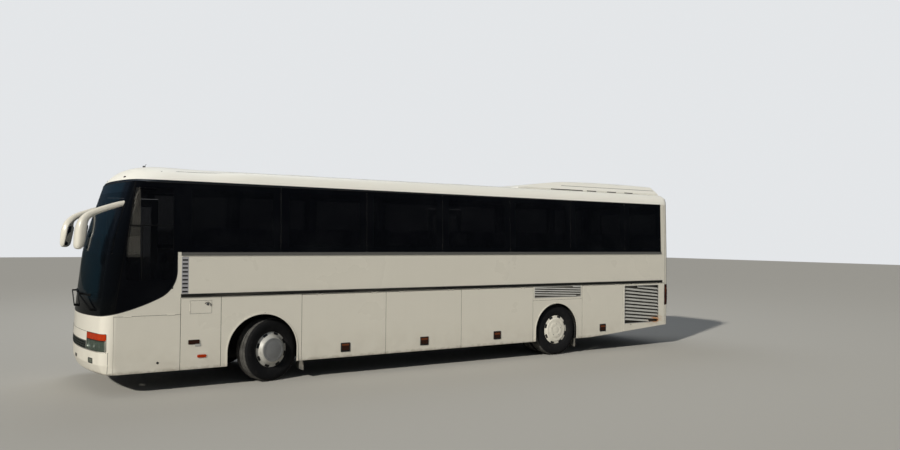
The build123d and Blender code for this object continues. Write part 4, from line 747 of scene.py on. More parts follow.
def tread_dust(node, at):
    """Tyre rubber of one wheel, its tread grey with road dust."""
    finish = Finish(f"{node}_rubber", (0.009, 0.009, 0.01), 0.8, Specular_IOR_Level=0.25)
    hub, out = at.translation, at.col[2].to_3d()
    off_x, off_y, off_z = finish.x - hub.x, finish.y - hub.y, finish.z - hub.z
    across = off_x * out.x + off_y * out.y
    reach = off_x * off_x + off_y * off_y + off_z * off_z - across * across
    tread = reach.over(0.490 ** 2, 0.5 ** 2)
    finish.tint(finish.noise(14, 6).over(0.5, 0.8) * 0.4, (0.03, 0.028, 0.025))
    finish.tint(tread * finish.noise(9, 5).over(0.0, 0.7), (0.10, 0.097, 0.09))
    return finish.bump(finish.noise(260, 3), 0.0006, 0.5)


def tyre(piece, offset):
    """Ribbed tyre about the frame's Z, with notched shoulders."""
    rings = []
    for k in range(TYRE_STEPS):
        turn = 2 * pi * k / TYRE_STEPS
        cut = 1 if k % 3 == 0 else 0
        rings.append([piece.vert(((r - notch * cut) * cos(turn), (r - notch * cut) * sin(turn), offset + w))
                      for r, w, notch in TYRE_SECTION])
    for k in range(TYRE_STEPS):
        a, b = rings[k], rings[(k + 1) % TYRE_STEPS]
        for i in range(len(a)):
            j = (i + 1) % len(a)
            piece.bm.faces.new((a[i], b[i], b[j], a[j]))


for body, node, at, offsets in WHEELS:
    piece = Piece(f"{node}_tread", tread_dust(node, at), body, at)
    for offset in offsets:
        tyre(piece, offset)
    piece.done(smooth=28, replaces=[node])

# Rim flange, by distance past the rim's radius and the cap's edge; cap discs by radius and height
FLANGE = ((-0.006, -0.002), (0.001, 0.006), (0.008, 0.010), (0.013, 0.006), (0.013, 0.001), (-0.006, -0.002))
FRONT_DISC = ((0, 0.002), (0.14, 0.0018), (0.145, 0.0008), (0.152, 0.0008), (0.157, 0.0018), (0.186, 0.0014),
              (0.19, 0), (0.19, -0.003))
REAR_DISC = ((0, 0.002), (0.07, 0.002), (0.074, 0.0008), (0.08, 0.0008), (0.084, 0.002), (0.16, 0),
             (0.17, -0.004))
# Valve, by distance past the rim's radius and the cap's edge
VALVE = ((-0.03, -0.015), (-0.028, 0.012), (-0.036, 0.03))
# Trim by axle: the disc's finish, profile, height over the cap's edge and screw circle; the notches' lean
TRIM = {
    "front": (cap_disc_painted_shade, FRONT_DISC, 0.0745, 0.168, 0.286),
    "rear": (rim_rear, REAR_DISC, 0.0365, 0.12, 0.207),
}
CAP_SCREWS, CAP_NOTCHES = 5, 8
NOTCH_R, NOTCH_H = 0.263, CAP_EDGE + 0.0165

nut = Piece("cap_nut_form", arm_steel, None)
nut.lathe([(0.0, 0.009), (0.006, 0.009), (0.0085, 0.0065), (0.0095, 0.0), (0.0095, -0.003)], 6)
nut_form = nut.done(smooth=30)
# Dark inserts laid over the caps' vent slots, a little larger than the slots: painted shade in the slots
notch = Piece("notch_form", mirror_black, None)
notch.cover(lambda u, v: (Vector((u, v, 0)), Vector((0, 0, 1))), 0.0195, 0.042, 0.014, 0.0015, sink=0.008)
notch_form = notch.done()
for body, node, at, offsets in WHEELS:
    disc_finish, profile, face, screw_r, lean = TRIM["front" if "front" in body else "rear"]
    face += CAP_EDGE
    Piece(f"{body}_flange", cast, body, at).lathe([(RIM_R + r, CAP_EDGE + h) for r, h in FLANGE], 96).done()
    Piece(f"{body}_disc", disc_finish, body, at).lathe([(r, face + h) for r, h in profile], 72).done()
    turns = [2 * pi * k / CAP_SCREWS + 0.3 for k in range(CAP_SCREWS)]
    screws = [at @ Matrix.Translation((screw_r * cos(turn), screw_r * sin(turn), face + 0.0005))
              for turn in turns]
    repeated(f"{body}_cap_screws", nut_form, arm_steel, body, screws, 0.8)
    tilted = Matrix.Translation((NOTCH_R, 0, NOTCH_H)) @ Matrix.Rotation(lean, 4, "Y")
    notches = [at @ Matrix.Rotation(radians(72) + 2 * pi * k / CAP_NOTCHES, 4, "Z") @ tilted
               for k in range(CAP_NOTCHES)]
    repeated(f"{body}_notches", notch_form, mirror_black, body, notches)
    valve = Piece(f"{body}_valve", gasket, body, at)
    valve.tube([(RIM_R + r, 0, CAP_EDGE + h) for r, h in VALVE], 0.004).done()

# Surfaces that pieces lie on
left_side = Skin("side_wall_left", "windows", "windscreen", "front_mask", "service_flap_left", "roof_sides")
body_skin = Skin("side_wall_left", "side_wall_right", "windows", "windscreen", "front_mask", "front_bumper",
                 "lamps", "roof_sides", "roof_shell", "rear_wall", "rear_bumper", "service_flap_left",
                 "rear_flap_left", "grille_flap_left", "front_door", "middle_door", "front_door_glass",
                 "middle_door_glass")
glass_skin = Skin("windows", "windscreen")
cad_roof = Skin("roof_shell", "roof_sides")

# Seals between the side panes and at the rear edge of the side glass
for side, word in SIDES:
    seals = Piece(f"pane_seals_{word}", glass_seal)
    for k in range(6):
        post = FIRST_POST - k * POST_PITCH
        in_door = any(rear - 0.01 < post < front + 0.01 for rear, front in DOORS.values())
        if side > 0 or not in_door:
            heights = steps_between(GLASS_Z + 0.002, GLASS_TOP_Z - 0.004, 9)
            spots = [glass_skin.side(post + 0.012, z, side) for z in heights]
            seals.strip([(Vector((post, p.y, p.z)), n) for p, n in spots], 0.0056, 0.0006, sink=0.01)
    heights = steps_between(GLASS_Z, GLASS_TOP_Z - 0.002, 9)
    seals.strip([glass_skin.side(X_GLASS_REAR + 0.006, z, side) for z in heights], 0.014, 0.003).done()


def tangent_arc(start, way, end, count):
    """Points of the arc that leaves a point along a way and ends at another, and its way at the end."""
    chord = end - start
    across = Vector((-way.y, way.x))
    centre = start + across * chord.length_squared / (2 * chord.dot(across))
    turn = 2 * atan2(chord.dot(across), chord.dot(way))
    points = [centre + Matrix.Rotation(turn * k / (count - 1), 2) @ (start - centre) for k in range(count)]
    return points, Matrix.Rotation(turn, 2) @ way


# Lower edge of the glass in side view, as in the body: down from the waist, round and on to the nose
bend, bend_way = tangent_arc(Vector((X_DRIVER, GLASS_Z - 0.29)), Vector((0, -1)),
                             Vector((X_DRIVER + 0.248, GLASS_Z - 0.685)), 12)
foot, _ = tangent_arc(bend[-1], bend_way, Vector((X_NOSE, GLASS_FOOT_Z)), 60)
SWEEP = [Vector((X_DRIVER, GLASS_Z)), Vector((X_DRIVER, GLASS_Z - 0.15))] + bend + foot[1:]


def sweep_height(x):
    """Height of the lower edge of the glass at a place along the coach."""
    for a, b in zip(foot, foot[1:]):
        if a.x <= x <= b.x:
            return a.y + (b.y - a.y) * (x - a.x) / (b.x - a.x)
    return GLASS_FOOT_Z


def foot_spots(reach=1.0, clear=0.004):
    """Lower edge of the glass from the driver's window across the front to the entrance door."""
    edge_x = glass_skin.nose(reach, GLASS_FOOT_Z + 0.05)[0].x
    side_run = [p for p in SWEEP if p.x < edge_x - 0.01]
    spots = [glass_skin.side(p.x + clear, p.y + clear) for p in side_run]
    for y in steps_between(reach, -reach, 41):
        x = edge_x
        for _ in range(3):
            spot = glass_skin.nose(y, sweep_height(x) + clear)
            x = spot[0].x
        spots.append(spot)
    past_door = [p for p in reversed(side_run) if p.x > DOORS["front_door"][1] + 0.02]
    return spots + [glass_skin.side(p.x, p.y + clear, -1) for p in past_door]


def around_spots(z, reach=1.0):
    """Places at one height from the rear of the left side round the nose to the rear of the right side."""
    edge_x = body_skin.nose(reach, z)[0].x
    run = steps_between(X_GLASS_REAR + 0.01, edge_x - 0.03, 60)
    spots = [body_skin.side(x, z) for x in run]
    spots += [body_skin.nose(y, z) for y in steps_between(reach, -reach, 31)]
    return spots + [body_skin.side(x, z, -1) for x in reversed(run)]


Piece("glass_foot_seal", gasket).strip(foot_spots(), 0.012, 0.0025).done()
Piece("roof_edge_seal", gasket).strip(around_spots(GLASS_TOP_Z - 0.006), 0.012, 0.0025).done()

# Roof: laid over the CAD roof from its eaves to its spine, with the corners of the brow rounded off
EAVES_Z = GLASS_TOP_Z + 0.0005
HEART_Z = 2.7
SPINE = (X_TAIL + 0.9, ahead(1.0))
ROOF_ROWS = 34
SHELL_DEPTH = 0.03


def roof_columns():
    """Ends of the roof's columns: place on the spine and level way out, once around."""
    side_x = [SPINE[0] + (SPINE[1] - SPINE[0]) * (1 - (1 - k / 60) ** 1.6) for k in range(61)]
    fan = [Vector((sin(radians(turn)), cos(radians(turn)), 0)) for turn in steps_between(2, 178, 89)]
    return ([(x, Vector((0, 1, 0))) for x in side_x] + [(SPINE[1], way) for way in fan]
            + [(x, Vector((0, -1, 0))) for x in reversed(side_x)] + [(SPINE[0], -way) for way in fan])


def roof_grid():
    """Places on the CAD roof, by column and row."""
    grid = []
    for x, way in roof_columns():
        heart, level = Vector((x, 0, HEART_Z)), Vector((x, 0, EAVES_Z))
        edge, _ = cad_roof.land(level + way * 7, -way)
        first = atan2(EAVES_Z - heart.z, (edge - level).length)
        column = [edge]
        for row in range(1, ROOF_ROWS + 1):
            turn = first + (pi / 2 - first) * (row / ROOF_ROWS) ** 1.15
            ray = way * cos(turn) + Vector((0, 0, sin(turn)))
            column.append(cad_roof.land(heart + ray * 8, -ray)[0])
        grid.append(column)
    return grid


def fill_brow(grid):
    """Raise and push out the brow ahead of the cabin; the eaves and the crown stay where they are."""
    heart = Vector((SPINE[1], 0, HEART_Z))
    for column in grid:
        for j, place in enumerate(column):
            share = held(place.x - ahead(1.0)) * held((place.z - 3.15) / 0.08)
            share *= held((3.46 - place.z) / 0.14)
            column[j] = place + (place - heart).normalized() * 0.03 * share + Vector((0, 0, 0.075 * share))


def eased_brow(grid, rounds=70):
    """Ease the creases of the brow by the four neighbours of each place."""
    count = len(grid)
    for _ in range(rounds):
        eased = [list(column) for column in grid]
        for i in range(count):
            for j in range(1, ROOF_ROWS):
                place = grid[i][j]
                share = held((place.x - ahead(0.5)) / 0.8) * held((place.z - 3.18) / 0.06)
                if share > 0:
                    around = grid[i - 1][j] + grid[(i + 1) % count][j] + grid[i][j - 1] + grid[i][j + 1]
                    eased[i][j] = place.lerp(around / 4, share * 0.8)
        grid = eased
    return grid


def eased_along(grid, rounds=14):
    """Ease each row along the coach, apart from the corners of the tail."""
    count = len(grid)
    for _ in range(rounds):
        grid = [[column[0]] + [column[j].lerp((grid[i - 1][j] + grid[(i + 1) % count][j]) / 2,
                                              0.5 if column[0].x > SPINE[0] + 0.1 else 0.0)
                               for j in range(1, ROOF_ROWS + 1)] for i, column in enumerate(grid)]
    return grid


roof_places = roof_grid()
fill_brow(roof_places)
roof_places = eased_along(eased_brow(roof_places))
roof_hearts = [Vector((x, 0, HEART_Z)) for x, _ in roof_columns()]
roof = Piece("roof", roof_paint)
outer, inner = ([[roof.vert(place + (heart - place).normalized() * depth) for place in column]
                 for column, heart in zip(roof_places, roof_hearts)] for depth in (0, SHELL_DEPTH))
for i in range(len(outer)):
    k = (i + 1) % len(outer)
    for j in range(ROOF_ROWS):
        roof.bm.faces.new((outer[i][j], outer[k][j], outer[k][j + 1], outer[i][j + 1]))
        roof.bm.faces.new((inner[i][j + 1], inner[k][j + 1], inner[k][j], inner[i][j]))
    roof.bm.faces.new((outer[k][0], outer[i][0], inner[i][0], inner[k][0]))
roof.done(smooth=40, replaces=("roof_shell", "roof_sides"))
roof_skin = Skin("roof")

# Roof hatches: crowned lids on a dark seal
for k, hatch_x in enumerate((ahead(-0.9), ahead(-4.3))):
    hatch_spot = about(roof_skin.top, hatch_x, 0)
    lid = Piece(f"roof_hatch_{k + 1}", roof_paint)
    lid.cover(hatch_spot, 0.29, 0.29, 0.06, 0.014, 0.008, sink=0.004)
    lid.done(replaces=() if k else ("roof_hatches",))
    seal = Piece(f"roof_hatch_seal_{k + 1}", gasket)
    seal.strip(outline(hatch_spot, 0.300, 0.300, 0.07), 0.016, 0.004, closed=True).done()

# Seams of the roof's crown
roof_seams = Piece("roof_seams", lining)
for y in (0.99, -0.99):
    run = steps_between(X_TAIL + 0.12, X_NOSE - 1.0, 40)
    roof_seams.strip([roof_skin.top(x, y) for x in run], 0.016, 0.0015)
for x in (ahead(-2.6), ahead(0.3)):
    roof_seams.strip([roof_skin.top(x, y) for y in steps_between(-0.98, 0.98, 25)], 0.012, 0.001)
roof_seams.done()


def pillar_x(z):
    """Place of the joint between windscreen and side glass at a height."""
    return ahead(2.345 + (2.050 - 2.345) * (z - 1.105) / (3.206 - 1.105))


# Joint between the windscreen and the side glass, and the frame of the driver's opening pane
for side, word in SIDES:
    heights = steps_between(sweep_height(pillar_x(1.17)) + 0.01, GLASS_TOP_Z - 0.01, 20)
    pillar_seal = Piece(f"pillar_seal_{word}", glass_seal)
    pillar_seal.strip([glass_skin.side(pillar_x(z), z, side) for z in heights], 0.012, 0.0015).done()
RAIL_Z, PANE_X = 2.486, ahead(1.967)
upright = [left_side.side(PANE_X, z) for z in steps_between(1.70, RAIL_Z, 10)]
rail = [left_side.side(x, RAIL_Z) for x in steps_between(X_DRIVER + 0.07, pillar_x(RAIL_Z) - 0.01, 8)]
Piece("driver_pane_frame", wiper_black).strip(upright, 0.012, 0.003).strip(rail, 0.012, 0.003).done()


def through(stations, per):
    """Stations of a smooth line through given stations, some to each stretch."""
    spots = [Vector(station) for station in stations]
    spots = [2 * spots[0] - spots[1]] + spots + [2 * spots[-1] - spots[-2]]
    line = []
    for a, b, c, d in zip(spots, spots[1:], spots[2:], spots[3:]):
        for k in range(per):
            t = k / per
            line.append((b * 2 + (c - a) * t + (a * 2 - b * 5 + c * 4 - d) * t ** 2
                         + (b * 3 - a - c * 3 + d) * t ** 3) / 2)
    return line + [spots[-2]]


# Mirrors: stations along arm and housing, each its place ahead of the axle, height, thickness and width
MIRROR_Y = 1.11
MIRROR_STATIONS = (
    (2.100, 2.826, 0.078, 0.056), (2.240, 2.800, 0.082, 0.058), (2.380, 2.757, 0.086, 0.060),
    (2.520, 2.706, 0.090, 0.066), (2.630, 2.657, 0.098, 0.078), (2.705, 2.603, 0.110, 0.104),
    (2.753, 2.535, 0.124, 0.150), (2.777, 2.450, 0.136, 0.186), (2.789, 2.360, 0.139, 0.203),
    (2.800, 2.260, 0.127, 0.205), (2.812, 2.185, 0.106, 0.190), (2.819, 2.146, 0.070, 0.150),
    (2.821, 2.134, 0.030, 0.090),
)
# Foot and head of the flat behind: place ahead of the axle, height, place of the section's heart
MIRROR_FLAT = ((2.764, 2.170, 2.814), (2.707, 2.470, 2.774))
MIRROR_PANES = (("main", 2.375, 0.105), ("wide", 2.205, 0.040))
# How far each mirror is set back from the left one, and the turn of its head
MIRROR_SETTINGS = {"left": (0, radians(10)), "right": (0.11, radians(-38))}


def mirror_shell_rings(side, set_back, yaw):
    """Sections of one mirror shell: round ahead, flat behind, its head turned to the driver."""
    line = through(MIRROR_STATIONS, 5)
    rings = []
    for k, (x, z, thick, width) in enumerate(line):
        before, after = line[max(k - 1, 0)], line[min(k + 1, len(line) - 1)]
        way = Vector((after[0] - before[0], after[1] - before[1])).normalized()
        flat = held((width - 0.07) / 0.1)
        heart = Vector((ahead(x - set_back), side * MIRROR_Y, z))
        turn = Matrix.Rotation(yaw * held((2.68 - z) / 0.14), 3, "Z")
        ring = []
        for i in range(32):
            c, s = cos(pi * i / 16), sin(pi * i / 16)
            across = width / 2 * abs(c) ** (0.9 - 0.3 * flat) * (1 if c > 0 else -1)
            deep = thick / 2 * (abs(s) ** 0.9 if s > 0 else -abs(s) ** (0.9 - 0.55 * flat))
            ring.append(heart + turn @ Vector((-way.y * deep, across, way.x * deep)))
        rings.append(ring)
    return rings


def mirror_face(side, set_back, yaw):
    """Places on the flat behind one mirror's head: a function of height gives its places by run."""
    turn = Matrix.Rotation(yaw, 3, "Z")
    low, high = (Vector((ahead(heart - set_back), side * MIRROR_Y, z)) + turn @ Vector((x - heart, 0, 0))
                 for x, z, heart in MIRROR_FLAT)
    rise, sideways = (high - low).normalized(), turn @ Vector((0, 1, 0))

    def at_height(z):
        centre = low + rise * ((z - low.z) / rise.z)
        return lambda u, v: (centre + sideways * u + rise * v, rise.cross(sideways))
    return at_height


for side, word in SIDES:
    set_back, yaw = MIRROR_SETTINGS[word]
    shell = Piece(f"mirror_shell_{word}", mirror_shell).rings(mirror_shell_rings(side, set_back, yaw))
    shell.done(smooth=50, replaces=("mirrors",) if side > 0 else ())
    face_at = mirror_face(side, set_back, yaw)
    back = Piece(f"mirror_back_{word}", mirror_black)
    back.cover(face_at(2.32), 0.088, 0.165, 0.05, 0.003, 0.002, sink=0.03).done()
    for label, centre_z, half_v in MIRROR_PANES:
        pane = Piece(f"mirror_pane_{label}_{word}", mirror_glass)
        pane.cover(face_at(centre_z), 0.074, half_v, 0.025, 0.0065, 0.001, sink=0.0).done()

# Head lamps: upright axis of the fan of rays that sets them out, its first and last turn
LAMP_AXIS = (ahead(2.20), 0.75)
LAMP_REACH = 0.42
LAMP_TURNS = (radians(-13.2), radians(63.2))
LAMP_MIDDLE = sum(LAMP_TURNS) / 2
LAMP_HALF = (LAMP_TURNS[1] - LAMP_TURNS[0]) / 2 * LAMP_REACH
# Middle and half height of the clear and the amber lens, and the bowls by distance from the middle and radius
CLEAR_LENS, AMBER_LENS = (0.7235, 0.0755), (0.8545, 0.0475)
LAMP_BOWLS = ((0.735, 0.062), (0.885, 0.062), (1.015, 0.05))


def lamp_spot(side, centre_z):
    """Places on the corner of the front, by run round the corner and height."""
    def spot(u, v):
        turn = LAMP_MIDDLE + u / LAMP_REACH
        return body_skin.fan((LAMP_AXIS[0], LAMP_AXIS[1] * side), turn * side, centre_z + v)
    return spot


def bowl(piece, place, radius, depth):
    """Round reflector that looks ahead, with its bulb."""
    piece.at = frame_on(place, Vector((1, 0, 0)))
    profile = [(radius * sqrt(k / 8), -depth * (1 - k / 8)) for k in range(9)]
    piece.lathe(profile + [(radius + 0.004, 0.001), (radius + 0.004, -0.004)], 32)
    piece.lathe([(0, -depth * 0.35), (0.008, -depth * 0.4), (0.01, -depth * 0.6), (0.01, -depth)], 16)
    piece.at = Matrix()


for side, word in SIDES:
    clear_at, amber_at = lamp_spot(side, CLEAR_LENS[0]), lamp_spot(side, AMBER_LENS[0])
    housing = Piece(f"head_lamp_housing_{word}", lamp_bowl)
    housing.tray(clear_at, LAMP_HALF, CLEAR_LENS[1], 0.012, 0.06)
    housing.tray(amber_at, LAMP_HALF, AMBER_LENS[1], 0.012, 0.03)
    housing.done(replaces=("lamps",) if side > 0 else ())
    bowls = Piece(f"head_lamp_bowls_{word}", reflector)
    for y, size in LAMP_BOWLS:
        point, _ = body_skin.nose(side * y, CLEAR_LENS[0])
        bowl(bowls, point - Vector((0.016 + 0.10 * (y - LAMP_BOWLS[0][0]), 0, 0)), size, 0.05)
    bowls.done()
    clear = Piece(f"head_lamp_lens_{word}", lens_clear)
    clear.cover(clear_at, LAMP_HALF - 0.002, CLEAR_LENS[1] - 0.002, 0.012, 0.001, 0.002, sink=0.001).done()
    amber = Piece(f"turn_lamp_lens_{word}", lens_amber)
    amber.cover(amber_at, LAMP_HALF - 0.002, AMBER_LENS[1] - 0.002, 0.012, 0.001, 0.002, sink=0.012).done()
    rim = Piece(f"head_lamp_seal_{word}", gasket)
    rim.strip(outline(lamp_spot(side, 0.7755), LAMP_HALF, 0.1275, 0.014), 0.008, 0.003, closed=True)
    bar_at = lamp_spot(side, 0.8035)
    rim.strip([bar_at(u, 0) for u in steps_between(-LAMP_HALF, LAMP_HALF, 16)], 0.007, 0.003).done()

# Fog lamps and the cover of the towing eye in the bumper
for side, word in SIDES:
    fog_at = about(body_skin.nose, side * 0.82, 0.492)
    fog_frame = Piece(f"fog_lamp_{word}_frame", mirror_black)
    fog_frame.strip(outline(fog_at, 0.084, 0.034, 0.012), 0.012, 0.003, closed=True).done()
    Piece(f"fog_lamp_{word}_lens", lens_clear).cover(fog_at, 0.079, 0.029, 0.01, 0.002, 0.002).done()
tow_cover = Piece("towing_eye_cover", mirror_black)
tow_cover.cover(about(body_skin.nose, 0.0, 0.481), 0.075, 0.025, 0.01, 0.0015, 0.001).done()

# Seams of the front: bumper edge and top, and the edge of the flap above the lamps
SEAM_Z = BUMPER_TOP_Z - 0.0035


def fan_spots(z, side):
    """Places round one front corner at a height, from the bumper's rear edge to the front."""
    axis = (LAMP_AXIS[0], LAMP_AXIS[1] * side)
    last = atan2(0.497, X_BUMPER_EDGE - LAMP_AXIS[0])
    return [body_skin.fan(axis, turn * side, z) for turn in steps_between(last, radians(-13), 20)]


front_seams = Piece("front_seams", gasket)
for side, _ in SIDES:
    heights = steps_between(0.33, BUMPER_TOP_Z - 0.004, 12)
    front_seams.strip([body_skin.side(X_BUMPER_EDGE, z, side) for z in heights], 0.006, 0.0008)
    front_seams.strip(fan_spots(SEAM_Z, side), 0.006, 0.0008)
front_seams.strip([body_skin.nose(y, SEAM_Z) for y in steps_between(0.66, -0.66, 25)], 0.006, 0.0008)
front_seams.strip([body_skin.nose(y, 0.903) for y in steps_between(0.652, -0.652, 25)], 0.005, 0.0008)
front_seams.done()
intake_rings = []
for y in steps_between(-0.63, 0.63, 25):
    face = body_skin.nose(y, 0.647)[0].x - 0.062
    back = face - 0.004
    intake_rings.append([(face, y, 0.645), (face, y, 0.76), (back, y, 0.76), (back, y, 0.645)])
Piece("intake_back", lamp_bowl).rings(intake_rings).done()

# Fuel flap's plate and the painted edges that cover hinge pockets in the wall
FUEL_SPAN, FUEL_Z = (ahead(0.928), ahead(1.258)), (1.152, 1.350)
plate = Piece("fuel_flap_plate", panel_paint, "fuel_flap")
plate.box(FUEL_SPAN[0] + 0.0025, FUEL_SPAN[1] - 0.003, SIDE_Y - 0.0095, SIDE_Y + 0.0004, FUEL_Z[0] + 0.0025,
          FUEL_Z[1] - 0.0025, 0.0008)
plate.done(replaces=("fuel_flap",))
fuel_at = about(flat_side, sum(FUEL_SPAN) / 2, sum(FUEL_Z) / 2, 1)
fuel_edge = Piece("fuel_flap_edge", panel_paint)
fuel_edge.strip(outline(fuel_at, 0.1745, 0.1085, 0.006), 0.016, 0.0006, closed=True).done()


def level_edge(name, body, z, sample_z, inset):
    """Painted edge at one height above or below the service flap, with the side's own curve beside it."""
    run = steps_between(X_SERVICE + inset, X_CORNER - inset + 0.002, 30)
    spots = [body_skin.side(x, sample_z) for x in run]
    edge = Piece(name, panel_paint, body)
    edge.strip([(Vector((place.x, place.y, z)), normal) for place, normal in spots], 0.022, 0.0006).done()


level_edge("service_flap_edge", "coach", 1.1635, 1.19, 0.006)
level_edge("service_flap_lip", "service_flap_left", 1.1365, 1.11, 0.008)

# Fuel flap's latch and hook, plugs, front marker lamp and reflectors of the sides
latch_at = frame_on(*flat_side(ahead(0.99), 1.292, 1))
latch = Piece("fuel_flap_latch", arm_steel, "fuel_flap", latch_at)
latch.lathe([(0, 0.009), (0.010, 0.009), (0.019, 0.005), (0.022, 0.0), (0.022, -0.003)], 32).done()
# Hook of the latch: place ahead of the axle, distance from the side, height
HOOK = ((1.035, 0.004, 1.298), (1.02, 0.012, 1.318), (0.985, 0.012, 1.324), (0.952, 0.010, 1.30),
        (0.945, 0.004, 1.262))
hook = Piece("fuel_flap_hook", mirror_black, "fuel_flap")
hook.tube([(ahead(x), SIDE_Y + y, z) for x, y, z in HOOK], 0.0055, flat=0.7).done()
# Plugs: name, body, place ahead of the axle, height, radius
PLUGS = (
    ("service_flap_plug", "service_flap_left", 1.723, 0.444, 0.019),
    ("arch_dot", "coach", 0.075, 1.115, 0.010),
    ("grille_flap_plug", "grille_flap_left", -8.16, 0.515, 0.010),
)
for name, body, x, z, radius in PLUGS:
    plug = Piece(name, mirror_black, body, frame_on(*flat_side(ahead(x), z, 1)))
    plug.lathe([(0, 0.004), (radius * 0.6, 0.0035), (radius * 0.9, 0.002), (radius, -0.001)], 24).done()
for side, word in SIDES:
    x0 = 1.109 if side > 0 else 0.76
    sunk = side * (SIDE_Y - 0.001)
    marker = Piece(f"front_marker_{word}", marker_amber)
    marker.box(ahead(x0), ahead(x0 + 0.171), sunk, side * (SIDE_Y + 0.011), 0.688, 0.757, 0.006).done()
    bracket = Piece(f"front_marker_base_{word}", slat_paint)
    bracket.box(ahead(x0 - 0.02), ahead(x0 + 0.07), sunk, side * (SIDE_Y + 0.006), 0.652, 0.700, 0.004).done()
    oval_at = about(flat_side, ahead(1.073), 0.502, side)
    oval = Piece(f"side_reflector_{word}", lens_amber)
    oval.cover(oval_at, 0.071, 0.023, 0.023, 0.0095, 0.002, sink=0.0005).done()

# Lamps low on the flaps: flap, place ahead of the front axle, height
FLAP_LAMPS = (
    ("luggage_flap_left_1", -1.349, 0.476),
    ("luggage_flap_left_2", -2.918, 0.484),
    ("luggage_flap_left_3", -4.554, 0.493),
    ("rear_flap_left", -7.324, 0.493),
    ("luggage_flap_right_1", -1.349, 0.476),
    ("luggage_flap_right_2", -2.918, 0.484),
)
for body, from_axle, height in FLAP_LAMPS:
    side = -1 if "right" in body else 1
    x, inner = ahead(from_axle), side * (SIDE_Y - 0.0015)
    case = Piece(f"{body}_lamp_case", mirror_black, body)
    case.box(x - 0.088, x + 0.088, inner, side * (SIDE_Y + 0.0095), height - 0.077, height + 0.077, 0.005)
    case.done()
    lens = Piece(f"{body}_lamp_lens", marker_amber, body)
    lens.box(x - 0.072, x + 0.072, inner, side * (SIDE_Y + 0.0115), height - 0.056, height + 0.065, 0.005)
    lens.done()

# Grille flaps: panel with one opening, a dark back as painted shade behind the slats, and slats that fall
# towards the tail
GRILLE_SPAN = (X_TAIL_CORNER + 0.20, X_GRILLE - 0.055)
GRILLE_Z = (0.545, 1.352)
SLAT_PITCH, SLAT_FALL = 0.0725, radians(5.5)
FLAP_ENDS = (X_TAIL_CORNER + 0.004, X_GRILLE - 0.004)
FLAP_TOP_Z = 1.386


def sill_height(x):
    """Lower edge of the side behind the rear wheel."""
    return 0.308 + (0.470 - 0.308) * max(0, (X_REAR - 0.9 - x) / (X_REAR - 0.9 - X_TAIL))


def slat_blade(name, length, half):
    """Form of one slat: a thin blade whose ends are rounded down to the frame."""
    turns = [pi * k / 8 for k in range(16)]
    section = [(half * cos(turn), 0.0032 * sin(turn) + 0.004 * cos(turn) ** 2) for turn in turns]
    blade = Piece(name, slat_paint, None)
    blade.rings([[(x, y, z) for y, z in section] for x in (-length / 2, 0, length / 2)])
    return blade.done(smooth=50)


def sloping_slats(span, heights, pitch, fall, margin, out_y, tilt):
    """Matrices of slats that fall towards the tail, each cut to the part that lies inside an opening."""
    places = []
    full, middle = span[1] - span[0], sum(span) / 2
    drop = tan(fall) * full / 2
    height = heights[0] + margin - drop
    while height < heights[1] - margin + drop:
        low_x = max(span[0], middle + (heights[0] + margin - height) / tan(fall))
        high_x = min(span[1], middle + (heights[1] - margin - height) / tan(fall))
        if high_x - low_x > 0.1 * full:
            x = (low_x + high_x) / 2
            places.append(Matrix.Translation((x, out_y, height + (x - middle) * tan(fall)))
                          @ Matrix.Rotation(-fall, 4, "Y") @ Matrix.Rotation(tilt, 4, "X")
                          @ Matrix.Diagonal(((high_x - low_x) / full, 1, 1, 1)))
        height += pitch
    return places


def opening(span, heights, side):
    """Places on a side about the middle of an opening, and half its length and height."""
    spot = about(flat_side, sum(span) / 2, sum(heights) / 2, side)
    return spot, (span[1] - span[0]) / 2, (heights[1] - heights[0]) / 2


def grille_panel(name, body, side):
    """Flap with one opening: its loops from the softened outer edge round the back to the opening."""
    corners = [(x, sill_height(x) + 0.001) for x in FLAP_ENDS]
    corners += [(x, FLAP_TOP_Z) for x in reversed(FLAP_ENDS)]
    edge = [(x + (0.003 if x == FLAP_ENDS[0] else -0.003), z + (0.003 if z < 1 else -0.003))
            for x, z in corners]
    hole = [(x, GRILLE_Z[0]) for x in GRILLE_SPAN] + [(x, GRILLE_Z[1]) for x in reversed(GRILLE_SPAN)]
    loops = ((edge, 0.0), (corners, 0.003), (corners, 0.05), (hole, 0.05), (hole, 0.004), (hole, 0.0))
    panel = Piece(name, grille_paint, body)
    panel.rings([[(x, side * (SIDE_Y - depth), z) for x, z in loop] for loop, depth in loops], closed=True)
    panel.done(replaces=(body,))


slat_form = slat_blade("slat_form", (GRILLE_SPAN[1] - GRILLE_SPAN[0]) * 1.004, 0.026)
for side, word in SIDES:
    body = f"grille_flap_{word}"
    grille_panel(f"grille_panel_{word}", body, side)
    places = sloping_slats(GRILLE_SPAN, GRILLE_Z, SLAT_PITCH, SLAT_FALL, 0.024, side * (SIDE_Y - 0.0195),
                           side * radians(-52))
    repeated(f"grille_slats_{word}", slat_form, slat_paint, body, places)
    # Dark back inside the opening: painted shade behind the slats
    back = Piece(f"grille_back_{word}", slat_shade, body)
    back.box(GRILLE_SPAN[0] - 0.01, GRILLE_SPAN[1] + 0.01, side * (SIDE_Y - 0.056), side * (SIDE_Y - 0.0495),
             GRILLE_Z[0] - 0.01, GRILLE_Z[1] + 0.006, 0.002).done()
    spot, half_u, half_v = opening(GRILLE_SPAN, GRILLE_Z, side)
    rails = Piece(f"grille_frame_{word}", slat_paint, body)
    rails.strip(outline(spot, half_u + 0.004, half_v + 0.004, 0.008), 0.012, 0.0025, closed=True).done()
